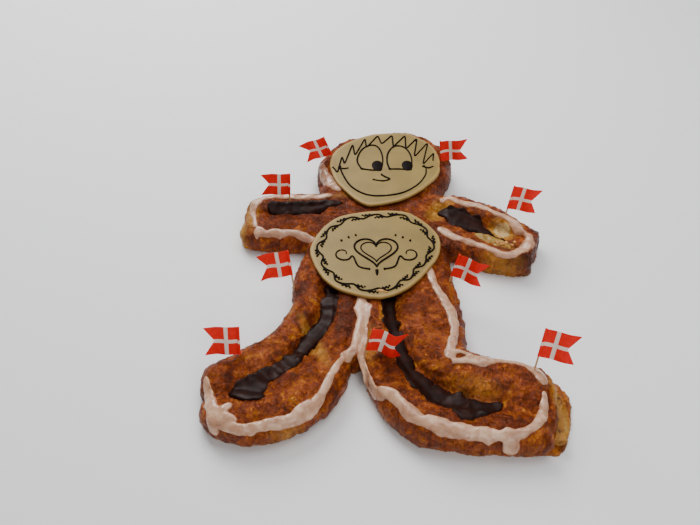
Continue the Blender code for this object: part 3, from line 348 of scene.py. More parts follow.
# Flags: foot, how far the pick leans to the right and away in degrees, its length, the side and the
# turn in degrees that the paper flies to, and how deep it waves
FLAGS = {
    "head_left": ((-66, 203, 32), -19, -4, 40, -1, -4, 1.5),
    "head_right": ((90, 194, 28), -7, 2, 39, 1, -4, 1.5),
    "left_arm": ((-123, 105, 33), 3, 3, 45, -1, -6, 1.0),
    "left_hip": ((-109, -49, 31), -7, 17, 48, -1, -10, 2.0),
    "right_arm": ((163, 76, 32), 10, 12, 45, 1, -3, 1.5),
    "right_hip": ((80, -37, 31), 12, 6, 38, 1, -21, 2.0),
    "left_foot": ((-162, -157, 33), 0, 24, 36, -1, -2, 1.5),
    "crotch": ((-25, -154, 31), 12, 4, 43.5, 1, -7, 4.0),
    "right_foot": ((156, -177, 34), 11, 25, 51, 1, -14, 1.5),
}

# Places where the crust is paler, as it is where rolls touched or layers opened:
# middle (x, y), half sizes, turn in degrees, strength
PALE_PLACES = (
    ((157, 56), (17, 13), -50, 1.3), ((146, 30), (26, 10), -28, 0.8), ((78, 92), (12, 26), -35, 0.8),
    ((-82, -134), (7, 38), 25, 0.7), ((-172, 84), (9, 30), 5, 0.8), ((-190, 66), (12, 34), 8, 1.0),
    ((182, -214), (9, 38), 6, 1.0), ((-88, -244), (30, 7), 8, 0.55), ((148, 0), (24, 9), -14, 0.55),
    ((-30, 118), (50, 6), 2, 0.35), ((-20, -140), (9, 26), 0, 0.35), ((90, -196), (26, 12), -20, 0.25),
)

# Places where the crust is darker, written the same way: in part where it baked darker, in part painted
# shade in the trenches beside the chocolate, along the plaques' edges and on flanks turned from the light
DARKER_AND_SHADE_PLACES = (
    ((-48, -95), (13, 48), 0, 0.8), ((-30, 85), (60, 14), 0, 0.7), ((60, 45), (14, 34), -60, 0.6),
    ((-98, -70), (10, 40), 0, 0.45), ((-170, -190), (24, 16), 20, 0.5), ((-112, -190), (16, 12), 30, 0.6),
    ((115, -246), (30, 8), 5, 0.7), ((60, -235), (26, 8), -20, 0.35), ((88, 135), (14, 26), 0, 0.7),
    ((-150, 62), (30, 12), 0, 0.35), ((130, 8), (34, 9), -14, 0.5), ((60, -60), (16, 30), 0, 0.25),
    ((-76, 10), (16, 30), 0, 0.5), ((40, -100), (20, 16), 0, 0.2), ((-105, 85), (70, 40), 0, 0.55),
    ((0, 112), (90, 18), 0, 0.7), ((96, 170), (14, 60), 0, 0.6), ((-86, 160), (14, 40), 0, 0.5),
    ((110, 20), (70, 16), -14, 0.5), ((0, 270), (70, 12), 0, 0.6),
    ((190, 4), (16, 22), 0, 0.9), ((200, 40), (12, 16), 0, 0.5),
)


def noise_near(point, spacing, offset=(0.0, 0.0, 0.0)):
    """Smooth noise that changes over about spacing millimetres, its own for each offset."""
    return noise.noise(point / spacing + Vector(offset))


def uneven(height, spacing, along, seed, layer=0.0):
    """Smooth noise along a line, up to about height on either side of nothing."""
    return height * noise.noise(Vector((along / spacing, seed, layer)))


def signed_power(value, power):
    """A power that keeps the sign."""
    return math.copysign(abs(value) ** power, value)


def turns(count):
    """Equal turns all the way round."""
    return [math.tau * i / count for i in range(count)]


def spline(points, step, cyclic=False):
    """A smooth curve through the points, with a point about every step millimetres."""
    count = len(points)
    result = []
    for i in range(count if cyclic else count - 1):
        if cyclic:
            four = [points[(i + k) % count] for k in (-1, 0, 1, 2)]
        else:
            four = [points[min(max(i + k, 0), count - 1)] for k in (-1, 0, 1, 2)]
        pieces = max(1, round(math.dist(four[1][:2], four[2][:2]) / step))
        for j in range(pieces):
            t = j / pieces
            result.append(tuple(
                0.5 * (2 * b + (c - a) * t + (2 * a - 5 * b + 4 * c - d) * t * t
                       + (3 * b - a - 3 * c + d) * t ** 3)
                for a, b, c, d in zip(*four)))
    if not cyclic:
        result.append(tuple(float(value) for value in points[-1]))
    return result


def direction_at(path, i):
    """The level direction of a path at one of its points."""
    ahead = path[min(i + 1, len(path) - 1)]
    behind = path[max(i - 1, 0)]
    return Vector((ahead[0] - behind[0], ahead[1] - behind[1])).normalized()


def run_length(points):
    """Level distance along the points to each of them."""
    lengths = [0.0]
    for first, second in zip(points, points[1:]):
        lengths.append(lengths[-1] + math.dist(first[:2], second[:2]))
    return lengths


def rounded_share(left_over, end_round, least):
    """How wide a roll or stroke still is near its round end, as a share of its full width."""
    if left_over >= end_round:
        return 1.0
    return max(least, math.sqrt(max(0.0, 1.0 - (1.0 - left_over / end_round) ** 2)))


def loft(rings, closed=False):
    """A bmesh through rings of points, capped at both ends, or closed into a loop."""
    mesh = bmesh.new()
    loops = [[mesh.verts.new(point) for point in ring] for ring in rings]
    pairs = list(zip(loops, loops[1:]))
    if closed:
        pairs.append((loops[-1], loops[0]))
    for first, second in pairs:
        for i in range(len(first)):
            j = (i + 1) % len(first)
            mesh.faces.new((first[i], first[j], second[j], second[i]))
    if not closed:
        mesh.faces.new(list(reversed(loops[0])))
        mesh.faces.new(loops[-1])
    bmesh.ops.recalc_face_normals(mesh, faces=mesh.faces)
    return mesh


def joined(meshes):
    """One bmesh of several."""
    whole = bmesh.new()
    for mesh in meshes:
        data = bpy.data.meshes.new("piece")
        mesh.to_mesh(data)
        mesh.free()
        whole.from_mesh(data)
        bpy.data.meshes.remove(data)
    return whole


def new_object(name, data):
    """An object of some data, in the scene."""
    thing = bpy.data.objects.new(name, data)
    bpy.context.scene.collection.objects.link(thing)
    return thing


def plan_object(name, mesh):
    """An object in plan millimetres from a bmesh."""
    data = bpy.data.meshes.new(name)
    mesh.to_mesh(data)
    mesh.free()
    return new_object(name, data)


def baked(thing):
    """Replace an object's mesh by its evaluated mesh, and drop its modifiers."""
    depsgraph = bpy.context.evaluated_depsgraph_get()
    data = bpy.data.meshes.new_from_object(thing.evaluated_get(depsgraph))
    old = thing.data
    thing.modifiers.clear()
    thing.data = data
    bpy.data.meshes.remove(old)
    return thing


def grown_together(name, meshes, voxel, smoothing):
    """One smooth body grown from closed bmeshes that overlap."""
    body = plan_object(name, joined(meshes))
    remesh = body.modifiers.new("grow_together", "REMESH")
    remesh.mode = "VOXEL"
    remesh.voxel_size = voxel
    smooth = body.modifiers.new("soften", "SMOOTH")
    smooth.factor = 0.5
    smooth.iterations = smoothing
    return baked(body)


def coordinates(data):
    """A mesh's points as an array."""
    flat = np.empty(3 * len(data.vertices))
    data.vertices.foreach_get("co", flat)
    return flat.reshape(-1, 3)


def pushed_out(thing, heights):
    """An object's points, each moved out of the surface by its height."""
    flat = np.empty(3 * len(thing.data.vertices))
    thing.data.vertex_normals.foreach_get("vector", flat)
    return coordinates(thing.data) + flat.reshape(-1, 3) * np.array(heights)[:, None]


def set_coordinates(data, points):
    """Move a mesh's points."""
    data.vertices.foreach_set("co", np.ascontiguousarray(points).ravel())
    data.update()


def tree_of(thing):
    """A search tree over an object's faces, in plan millimetres."""
    data = thing.data
    return BVHTree.FromPolygons([v.co for v in data.vertices], [p.vertices for p in data.polygons])


def surface_below(tree, x, y):
    """Where the dough's top is at a place of the plan, and its normal there."""
    hit, normal, _, _ = tree.ray_cast(Vector((x, y, FAR)), DOWN)
    return hit, normal


def mark(thing, name, values):
    """Store a number at each vertex for the material."""
    attribute = thing.data.attributes.new(name, "FLOAT", "POINT")
    attribute.data.foreach_set("value", np.asarray(values, dtype=np.float32))


def finish_piece(thing, material, replaced, crease=None):
    """Turn a piece into metres, give it its material and tie it to the model."""
    thing.data.transform(PLAN_TO_FRAME)
    thing.data.materials.clear()
    thing.data.materials.append(material)
    thing.data.shade_smooth()
    if crease:
        thing.data.set_sharp_from_angle(angle=math.radians(crease))
    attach(thing, "root")
    if replaced:
        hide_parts(*replaced)


# Materials

# Colours as they look, each three numbers from 0 to 255; a ramp is colours with their places
CRUST_RAMP = ((0.0, (72, 22, 4)), (0.25, (104, 37, 5)), (0.5, (134, 53, 7)), (0.78, (168, 83, 13)),
              (1.0, (206, 128, 36)))
OPEN_DOUGH_RAMP = ((0.0, (150, 88, 18)), (0.5, (202, 144, 52)), (1.0, (230, 190, 108)))
OPEN_CRUMB_RAMP = ((0.3, (196, 158, 92)), (0.7, (232, 206, 150)))
STRAND_COLOUR = (214, 140, 48)
CRACK_COLOUR = (52, 14, 3)
CRAZING_COLOUR = (70, 21, 4)
FLECK_COLOUR = (56, 16, 4)
ICING_RAMP = ((0.32, (174, 127, 99)), (0.5, (199, 154, 123)), (0.68, (224, 184, 152)))
THIN_ICING_COLOUR = (160, 88, 46)
VEIL_COLOUR = (128, 92, 70)
CHOCOLATE_COLOURS = ((27, 10, 6), (42, 19, 13))
THIN_CHOCOLATE_COLOUR = (34, 11, 3)
MARZIPAN_COLOURS = ((127, 103, 41), (141, 116, 51))
MARZIPAN_RIM_COLOUR = (192, 154, 88)
MARZIPAN_SPECK_COLOUR = (92, 48, 20)
PIPING_COLOURS = ((10, 5, 4), (20, 10, 7))
FLAG_REDS = ((236, 26, 16), (248, 40, 28))
FLAG_WHITES = ((246, 222, 206), (252, 236, 224))
# Painted shade for the crease where a flag's paper leaves its stick
FLAG_FOLD_SHADE_COLOUR = (150, 30, 24)
WOOD_COLOURS = ((178, 132, 84), (212, 172, 120))
MOIST_CUSTARD_RAMP = ((0.25, (116, 90, 36)), (0.5, (148, 122, 60)), (0.75, (178, 150, 82)))
DRY_CUSTARD_RAMP = ((0.25, (128, 70, 12)), (0.5, (166, 106, 24)), (0.75, (196, 138, 40)))
BURNT_COLOUR = (74, 30, 10)
GOLDEN_CRUMB_RAMP = ((0.3, (150, 84, 22)), (0.7, (214, 160, 78)))

# The flag's cross in millimetres: the middles of its bars, and half their width with its soft edge
UPRIGHT_BAR = 13.6
LEVEL_BAR = 16.0
BAR_EDGES = (2.0, 2.25)


def linear(colour):
    """A colour of 0 to 255 as it looks, as linear values."""
    return tuple(((c / 255 + 0.055) / 1.055) ** 2.4 if c > 10 else c / 3294 for c in colour) + (1.0,)


class Nodes:
    """A short way to write a material's nodes."""

    def __init__(self, name):
        self.material = bpy.data.materials.new(name)
        self.material.use_nodes = True
        self.tree = self.material.node_tree
        self.shader = self.tree.nodes["Principled BSDF"]
        self.place = self.new("ShaderNodeTexCoord").outputs["Object"]

    def new(self, kind):
        return self.tree.nodes.new(kind)

    def link(self, output, socket):
        self.tree.links.new(output, socket)

    def put(self, socket, value):
        """Link or set a socket."""
        if isinstance(value, bpy.types.NodeSocket):
            self.link(value, socket)
        else:
            socket.default_value = value

    def surface(self, **values):
        """Set what is named on the shader, and give back the material."""
        for name, value in values.items():
            self.put(self.shader.inputs[name.replace("_", " ")], value)
        return self.material

    def noise(self, scale, detail=4.0, rough=0.55, distortion=0.0, place=None):
        """Noise from 0 to 1; scale is how often it changes in a metre."""
        node = self.new("ShaderNodeTexNoise")
        self.link(place or self.place, node.inputs["Vector"])
        names = ("Scale", "Detail", "Roughness", "Distortion")
        for name, value in zip(names, (scale, detail, rough, distortion)):
            node.inputs[name].default_value = value
        return node.outputs["Fac"]

    def stretched(self, scale):
        """The piece's coordinates, stretched."""
        node = self.new("ShaderNodeMapping")
        self.link(self.place, node.inputs["Vector"])
        node.inputs["Scale"].default_value = scale
        return node.outputs["Vector"]

    def cells(self, scale):
        """Distance to the nearest of many scattered points."""
        node = self.new("ShaderNodeTexVoronoi")
        self.link(self.place, node.inputs["Vector"])
        node.inputs["Scale"].default_value = scale
        return node.outputs["Distance"]

    def joined(self, x, y):
        """Two values as a place."""
        node = self.new("ShaderNodeCombineXYZ")
        self.link(x, node.inputs[0])
        self.link(y, node.inputs[1])
        return node.outputs[0]

    def math(self, operation, a, b=0.0, clamp=False):
        node = self.new("ShaderNodeMath")
        node.operation = operation
        node.use_clamp = clamp
        self.put(node.inputs[0], a)
        self.put(node.inputs[1], b)
        return node.outputs[0]

    def times(self, a, b):
        return self.math("MULTIPLY", a, b)

    def weighted(self, first, *others):
        """The sum of values, each given with its weight."""
        total = self.times(*first)
        for other in others:
            total = self.math("ADD", total, self.times(*other))
        return total

    def span(self, value, low, high, to_low=0.0, to_high=1.0):
        """A value that goes smoothly from to_low to to_high as another goes from low to high."""
        node = self.new("ShaderNodeMapRange")
        node.interpolation_type = "SMOOTHSTEP"
        self.put(node.inputs["Value"], value)
        names = ("From Min", "From Max", "To Min", "To Max")
        for name, number in zip(names, (low, high, to_low, to_high)):
            node.inputs[name].default_value = number
        return node.outputs["Result"]

    def between(self, value, at_low, at_high):
        """Noise turned into a value between two."""
        return self.span(value, 0.3, 0.7, at_low, at_high)

    def line(self, value, middle, inner, outer, strength=1.0):
        """A line where a value passes middle, soft from inner to outer on either side."""
        away = self.math("ABSOLUTE", self.math("SUBTRACT", value, middle))
        return self.span(away, inner, outer, strength, 0.0)

    def mix(self, share, a, b):
        """One colour turning to another; each is a node's, or three numbers."""
        node = self.new("ShaderNodeMix")
        node.data_type = "RGBA"
        self.put(node.inputs[0], share)
        for socket, colour in zip(node.inputs[6:8], (a, b)):
            self.put(socket, colour if isinstance(colour, bpy.types.NodeSocket) else linear(colour))
        return node.outputs[2]

    def tint(self, colour, share, strength, other):
        """A colour turned towards another where share is high."""
        return self.mix(self.times(share, strength), colour, other)

    def ramp(self, value, stops):
        node = self.new("ShaderNodeValToRGB")
        elements = node.color_ramp.elements
        elements[1].position = stops[-1][0]
        elements[1].color = linear(stops[-1][1])
        elements[0].position = stops[0][0]
        elements[0].color = linear(stops[0][1])
        for position, colour in stops[1:-1]:
            elements.new(position).color = linear(colour)
        self.link(value, node.inputs["Fac"])
        return node.outputs["Color"]

    def attribute(self, name):
        node = self.new("ShaderNodeAttribute")
        node.attribute_name = name
        return node.outputs["Fac"]

    def bump(self, height, strength, distance, after=None):
        """A normal from a height, of distance metres at most, on top of another bump."""
        node = self.new("ShaderNodeBump")
        node.inputs["Strength"].default_value = strength
        node.inputs["Distance"].default_value = distance
        self.link(height, node.inputs["Height"])
        if after:
            self.link(after, node.inputs["Normal"])
        return node.outputs["Normal"]


def crust_material():
    """Baked dough: golden to deep brown in patches, with wrinkled layers, paler open places, and darker
    places that are partly deeper browning and partly painted shade.
    """
    n = Nodes("baked_crust")
    pale = n.attribute("pale")
    flow = n.joined(n.attribute("along"), n.times(n.attribute("beside"), 0.55))
    patches = n.noise(33, 6, 0.60, 1.4)
    middling = n.noise(125, 5, 0.62, 1.2)
    fibres = n.noise(250, 4, 0.6, 3.0, flow)
    cracks = n.line(n.noise(105, 5, 0.62, 3.0, flow), 0.5, 0.0, 0.028)
    cracks = n.times(cracks, n.span(n.noise(60, 3), 0.42, 0.58))
    strands = n.line(n.noise(120, 4, 0.6, 3.2), 0.47, 0.0, 0.03)
    crazing = n.line(n.noise(230, 4, 0.7, 2.0), 0.5, 0.0, 0.03)
    crazing = n.times(crazing, n.span(n.noise(80, 3), 0.44, 0.56))
    flecks = n.span(n.noise(300, 3, 0.6), 0.60, 0.70)
    # The dark places lower the tone: deeper browning in part, painted shade in part
    tone = n.weighted((patches, 0.47), (middling, 0.27), (fibres, 0.26), (n.attribute("relief"), -0.014),
                      (n.attribute("dark"), -0.09), (pale, 0.04))
    crust = n.ramp(n.span(tone, 0.34, 0.645), CRUST_RAMP)
    for share, strength, colour in ((strands, 0.22, STRAND_COLOUR), (cracks, 0.65, CRACK_COLOUR),
                                    (crazing, 0.5, CRAZING_COLOUR), (flecks, 0.45, FLECK_COLOUR)):
        crust = n.tint(crust, share, strength, colour)
    open_place = n.math("MULTIPLY", pale, n.span(n.noise(70, 5, 0.7, 0.6), 0.22, 0.60), clamp=True)
    dough = n.ramp(n.noise(150, 5, 0.65, 0.4), OPEN_DOUGH_RAMP)
    crumb = n.ramp(n.noise(190, 5, 0.65, 0.8), OPEN_CRUMB_RAMP)
    dough = n.mix(n.span(pale, 0.92, 1.15), dough, crumb)
    height = n.weighted((fibres, 0.5), (middling, 1.0), (cracks, -0.26), (crazing, -0.12), (strands, 0.10))
    grain = n.bump(n.noise(800, 3, 0.6), 0.25, 0.0004)
    return n.surface(Base_Color=n.mix(open_place, crust, dough), Roughness=n.between(middling, 0.42, 0.24),
                     Specular_IOR_Level=0.22, Normal=n.bump(height, 1.0, 0.0019, grain))


def icing_material():
    """Sugar icing: creamy white where it is thick, and showing the crust where it is thin."""
    n = Nodes("sugar_icing")
    body = n.ramp(n.noise(75, 4, 0.6, 0.6), ICING_RAMP)
    patchy = n.math("SUBTRACT", n.noise(95, 4, 0.6), 0.5)
    thin = n.math("ADD", n.attribute("thin"), patchy)
    colour = n.tint(body, n.span(thin, 0.2, 1.0), 0.8, THIN_ICING_COLOUR)
    colour = n.tint(colour, n.attribute("veil"), 0.85, VEIL_COLOUR)
    return n.surface(Base_Color=colour, Roughness=n.between(n.noise(150, 3), 0.16, 0.32),
                     Subsurface_Weight=0.35, Subsurface_Scale=0.004, Subsurface_Radius=(1.0, 0.55, 0.4),
                     Specular_IOR_Level=0.5, Normal=n.bump(n.noise(130, 3, 0.5), 0.25, 0.0010))


def chocolate_material():
    """Dark chocolate icing with a soft shine."""
    n = Nodes("chocolate_icing")
    body = n.mix(n.span(n.noise(60, 5, 0.6, 0.5), 0.35, 0.7), *CHOCOLATE_COLOURS)
    colour = n.mix(n.span(n.attribute("thin"), 0.45, 1.0), body, THIN_CHOCOLATE_COLOUR)
    return n.surface(Base_Color=colour, Roughness=n.between(n.noise(90, 4), 0.38, 0.5),
                     Specular_IOR_Level=0.09, Normal=n.bump(n.noise(140, 4, 0.55), 0.12, 0.0006))


def marzipan_material():
    """Rolled marzipan: ivory, nearly matt, with a few specks."""
    n = Nodes("marzipan")
    body = n.mix(n.span(n.noise(26, 4, 0.5), 0.3, 0.7), *MARZIPAN_COLOURS)
    body = n.tint(body, n.attribute("rim"), 0.4, MARZIPAN_RIM_COLOUR)
    specks = n.times(n.span(n.cells(85), 0.05, 0.075, 1.0, 0.0), n.span(n.noise(31, 2), 0.56, 0.62))
    body = n.tint(body, specks, 0.55, MARZIPAN_SPECK_COLOUR)
    return n.surface(Base_Color=body, Roughness=n.between(n.noise(600, 3, 0.6), 0.46, 0.60),
                     Subsurface_Weight=0.15, Subsurface_Scale=0.003, Subsurface_Radius=(1.0, 0.7, 0.4),
                     Specular_IOR_Level=0.4, Normal=n.bump(n.noise(240, 4, 0.6), 0.18, 0.0005))


def piping_material():
    """Thin lines of piped dark chocolate."""
    n = Nodes("piped_chocolate")
    colour = n.mix(n.span(n.noise(300, 3), 0.35, 0.65), *PIPING_COLOURS)
    return n.surface(Base_Color=colour, Roughness=0.5, Specular_IOR_Level=0.05,
                     Normal=n.bump(n.noise(500, 2), 0.2, 0.0003))


def paper_material():
    """Printed flag paper, red with a white cross, read from the flag's own coordinates, with painted shade
    along the crease by the stick.
    """
    n = Nodes("flag_paper")
    uv = n.new("ShaderNodeUVMap")
    uv.uv_map = "flag"
    split = n.new("ShaderNodeSeparateXYZ")
    n.link(uv.outputs["UV"], split.inputs[0])
    across, up = split.outputs[0], split.outputs[1]
    # The print is 0.7 mm out of place where it runs round the stick
    shifted = n.math("ADD", up, n.span(across, 1.2, 1.4, 0.7, 0.0))
    upright = n.line(across, UPRIGHT_BAR, *BAR_EDGES)
    cross = n.math("MAXIMUM", upright, n.line(shifted, LEVEL_BAR, *BAR_EDGES))
    mottle = n.span(n.noise(240, 4, 0.7), 0.3, 0.7)
    printed = n.mix(cross, n.mix(mottle, *FLAG_REDS), n.mix(mottle, *FLAG_WHITES))
    # Painted shade in the crease where the paper leaves the stick
    fold_shade = n.line(across, 1.4, 0.1, 0.6, 0.35)
    return n.surface(Base_Color=n.mix(fold_shade, printed, FLAG_FOLD_SHADE_COLOUR), Roughness=0.7,
                     Specular_IOR_Level=0.2, Normal=n.bump(n.noise(700, 3), 0.15, 0.0002))


def wood_material():
    """Pale wooden picks with a fine grain along them."""
    n = Nodes("wooden_pick")
    grain = n.noise(160, 4, 0.6, 0.2, n.stretched((9.0, 9.0, 0.8)))
    return n.surface(Base_Color=n.mix(n.span(grain, 0.35, 0.65), *WOOD_COLOURS), Roughness=0.66,
                     Specular_IOR_Level=0.3, Normal=n.bump(grain, 0.3, 0.0003))


def custard_material():
    """Baked custard: moist, yellow, a little see-through, and dry and browned where it baked more."""
    n = Nodes("custard")
    cloud = n.noise(110, 5, 0.6, 0.4)
    browned = n.attribute("browned")
    body = n.tint(n.ramp(cloud, MOIST_CUSTARD_RAMP), browned, 0.9, n.ramp(cloud, DRY_CUSTARD_RAMP))
    burnt = n.span(n.noise(150, 4, 0.6), 0.54, 0.66)
    return n.surface(Base_Color=n.tint(body, burnt, browned, BURNT_COLOUR),
                     Roughness=n.span(browned, 0.25, 0.9, 0.27, 0.62),
                     Subsurface_Weight=0.3, Subsurface_Scale=0.005, Subsurface_Radius=(1.0, 0.7, 0.25),
                     Specular_IOR_Level=0.35, Normal=n.bump(n.noise(260, 4), 0.4, 0.0010))


def crumb_material():
    """Golden baked crumbs."""
    n = Nodes("golden_crumbs")
    colour = n.ramp(n.noise(300, 4, 0.7), GOLDEN_CRUMB_RAMP)
    return n.surface(Base_Color=colour, Roughness=0.5, Normal=n.bump(n.noise(900, 3), 0.4, 0.0006))


# Dough

def roll_mesh(points, end_round):
    """A roll of dough along its points, with bulges along its sides."""
    path = spline(points, PATH_STEP)
    lengths = run_length(path)
    seed = points[0][0] * 0.37
    rings = []
    for i, (x, y, half_width, crest) in enumerate(path):
        tangent = direction_at(path, i)
        share = rounded_share(lengths[-1] - lengths[i], end_round, ROLL_LEAST_SHARE)
        reach = half_width * share * (1.0 + uneven(ROLL_SWELL, ROLL_SWELL_SPACING, lengths[i], seed))
        bulge = min(BULGE_HEIGHT, BULGE_SHARE * crest)
        ring = []
        for turn in turns(ROLL_SIDES):
            rise = math.sin(turn)
            if rise >= 0:
                z = bulge + (crest - bulge) * share * rise ** ROLL_TOP_POWER
            else:
                z = bulge + (bulge + BELOW_FLOOR) * rise
            across = reach * signed_power(math.cos(turn), ROLL_SIDE_POWER)
            ring.append(Vector((x - tangent.y * across, y + tangent.x * across, z)))
        rings.append(ring)
    return loft(rings)


def pillow_mesh(outline, crest):
    """A flat-topped cushion of dough over a closed outline."""
    edge = spline(outline, PILLOW_STEP, cyclic=True)
    middle_x = sum(point[0] for point in edge) / len(edge)
    middle_y = sum(point[1] for point in edge) / len(edge)
    levels = [(0.3, -BELOW_FLOOR)]
    for degrees in (0, 12, 25, 37, 50, 60, 70, 76, 82):
        turn = math.radians(degrees)
        levels.append((1.0 - math.cos(turn), BULGE_HEIGHT + (crest - BULGE_HEIGHT) * math.sin(turn)))
    levels.append((1.5, crest))
    rings = []
    for inset, z in levels:
        ring = []
        for x, y in edge:
            reach = Vector((x - middle_x, y - middle_y))
            reach *= 1.0 - inset * PILLOW_ROUNDING / reach.length
            ring.append(Vector((middle_x + reach.x, middle_y + reach.y, z)))
        rings.append(ring)
    return loft(rings)


def custard_mesh(points, low, high, spread):
    """A flat band of custard, grown outwards by spread millimetres on all sides."""
    path = spline(points, CUSTARD_STEP)
    rings = []
    for i, (x, y, half_width) in enumerate(path):
        tangent = direction_at(path, i)
        along = {0: -spread, len(path) - 1: spread}.get(i, 0.0)
        wide, under, over = half_width + spread, low - spread, high + spread
        corners = ((-wide, under), (wide, under), (wide, over), (-wide, over))
        rings.append([Vector((x + tangent.x * along - tangent.y * across,
                              y + tangent.y * along + tangent.x * across, z)) for across, z in corners])
    return loft(rings)


def dough_relief(point):
    """How far the crust stands out at a point: the solids' lumps and folds, then wrinkles and flakes."""
    folds = 1.0 - 3.0 * abs(noise_near(point, FOLD_SPACING, (3.1, 7.7, 1.3)))
    height = LUMP_HEIGHT * noise_near(point, LUMP_SPACING) + FOLD_HEIGHT * max(folds, -0.5)
    height += SWELL_HEIGHT * noise_near(point, SWELL_SPACING, (6.0, 3.0, 2.0))
    warped = point + WARP * noise.noise_vector(point / WARP_SPACING)
    wrinkles = 0.5 - 2.2 * abs(noise_near(warped, WRINKLE_SPACING, (9.2, 1.7, 4.4)))
    layer = FLAKE_LAYERS * noise_near(warped, FLAKE_SPACING, (5.0, 2.0, 8.0))
    step = layer - math.floor(layer)
    flakes = step if step < 0.82 else (1.0 - step) * 4.5
    blisters = max(0.0, noise_near(point, BLISTER_SPACING, (1.0, 8.0, 3.0)) - 0.22)
    return height + WRINKLE_HEIGHT * wrinkles + FLAKE_HEIGHT * (flakes - 0.4) + BLISTER_HEIGHT * blisters


def inside_share(points, outline, centre, growth):
    """Which points lie over a plaque's outline grown outwards."""
    edge = np.array(spline(outline, PATH_STEP, cyclic=True))
    angles = np.arctan2(edge[:, 1], edge[:, 0])
    order = np.argsort(angles)
    reach = np.hypot(edge[order, 0], edge[order, 1])
    x, y = points[:, 0] - centre[0], points[:, 1] - centre[1]
    limit = np.interp(np.arctan2(y, x), angles[order], reach, period=math.tau)
    return np.hypot(x, y) < limit + growth


def seated(points, top):
    """Keep points under the plaques from standing above their undersides."""
    for outline, centre in ((FACE_OUTLINE, FACE_CENTRE), (BELLY_OUTLINE, BELLY_CENTRE)):
        under = inside_share(points, outline, centre, 0.2)
        points[under, 2] = np.minimum(points[under, 2], top)
    return points


def floor_cut(thing):
    """Cut a body off at the floor and close it with a flat face."""
    mesh = bmesh.new()
    mesh.from_mesh(thing.data)
    geometry = mesh.verts[:] + mesh.edges[:] + mesh.faces[:]
    bmesh.ops.bisect_plane(mesh, geom=geometry, plane_co=(0, 0, 0), plane_no=UP, clear_inner=True)
    rim = [edge for edge in mesh.edges if edge.is_boundary]
    bmesh.ops.holes_fill(mesh, edges=rim)
    bmesh.ops.recalc_face_normals(mesh, faces=mesh.faces)
    mesh.to_mesh(thing.data)
    mesh.free()


def ellipse_share(points, x, y, half_x, half_y, turn):
    """1 in the inner half of a turned ellipse, falling to 0 a third outside it."""
    c, s = math.cos(math.radians(turn)), math.sin(math.radians(turn))
    dx, dy = points[:, 0] - x, points[:, 1] - y
    along, across = (dx * c + dy * s) / half_x, (-dx * s + dy * c) / half_y
    return np.clip(1.6 - 1.2 * np.hypot(along, across), 0.0, 1.0)


def place_share(points, places):
    """How strongly each point lies in any of the listed places."""
    share = np.zeros(len(points))
    for (x, y), (half_x, half_y), turn, strength in places:
        share = np.maximum(share, strength * ellipse_share(points, x, y, half_x, half_y, turn))
    return share


def flow_of(points):
    """How far along and beside the nearest roll or cushion edge each point lies."""
    lines = [spline(path, PATH_STEP) for path, _ in ROLLS]
    lines += [[(x, y, PILLOW_ROUNDING) for x, y in spline(outline, PATH_STEP, cyclic=True)]
              for outline in (HEAD_OUTLINE, TORSO_OUTLINE)]
    best = np.full(len(points), np.inf)
    along, beside = np.zeros(len(points)), np.zeros(len(points))
    for number, path in enumerate(lines):
        lengths = run_length(path)
        for i, (x, y, half_width, *_) in enumerate(path):
            tangent = direction_at(path, i)
            dx, dy = points[:, 0] - x, points[:, 1] - y
            near = np.hypot(dx, dy) / half_width
            better = near < best
            best[better] = near[better]
            along[better] = (lengths[i] + dx * tangent.x + dy * tangent.y + FLOW_GAP * number)[better]
            beside[better] = (dy * tangent.x - dx * tangent.y)[better]
    return along, beside


def flaky_relief(points):
    """Thin layers of crust that run across the rolls."""
    along, beside = flow_of(points)
    heights = []
    for a, b, z in zip(along, beside, points[:, 2]):
        spot = Vector((a / LAYER_SPACING, b / LAYER_LENGTH, z / LAYER_LENGTH))
        spot += 0.6 * noise.noise_vector(spot * 0.7)
        heights.append(LAYER_HEIGHT * (0.45 - 1.9 * abs(noise.noise(spot))))
    return np.array(heights)


def make_dough():
    """The whole man of baked dough."""
    meshes = [roll_mesh(points, end_round) for points, end_round in ROLLS]
    meshes.append(pillow_mesh(HEAD_OUTLINE, HEAD_CREST))
    meshes.append(pillow_mesh(TORSO_OUTLINE, TORSO_CREST))
    dough = grown_together("dough_man", meshes, DOUGH_VOXEL, DOUGH_SMOOTHING)
    points = coordinates(dough.data)
    heights = np.array([dough_relief(Vector(point)) for point in points]) + flaky_relief(points)
    set_coordinates(dough.data, seated(pushed_out(dough, heights), PLAQUE_SEAT - 0.3))

    pocket_points, low, high = CUSTARDS["custard_right_foot"]
    pocket = plan_object("pocket", custard_mesh(pocket_points, low, high, POCKET_ROOM))
    cut = dough.modifiers.new("pocket", "BOOLEAN")
    cut.operation = "DIFFERENCE"
    cut.solver = "MANIFOLD"
    cut.object = pocket
    baked(dough)
    bpy.data.objects.remove(pocket, do_unlink=True)
    floor_cut(dough)

    points = coordinates(dough.data)
    near_floor = np.clip(1.0 - points[:, 2] / PALE_FOOT_HEIGHT, 0.0, 1.0)
    along, beside = flow_of(points)
    mark(dough, "relief", [dough_relief(Vector(point)) for point in points])
    mark(dough, "pale", np.maximum(place_share(points, PALE_PLACES), 0.3 * near_floor))
    # Darker places: deeper browning in part, painted shade in part
    mark(dough, "dark", place_share(points, DARKER_AND_SHADE_PLACES))
    mark(dough, "along", along * MM)
    mark(dough, "beside", beside * MM)
    return dough


# Icing and chocolate

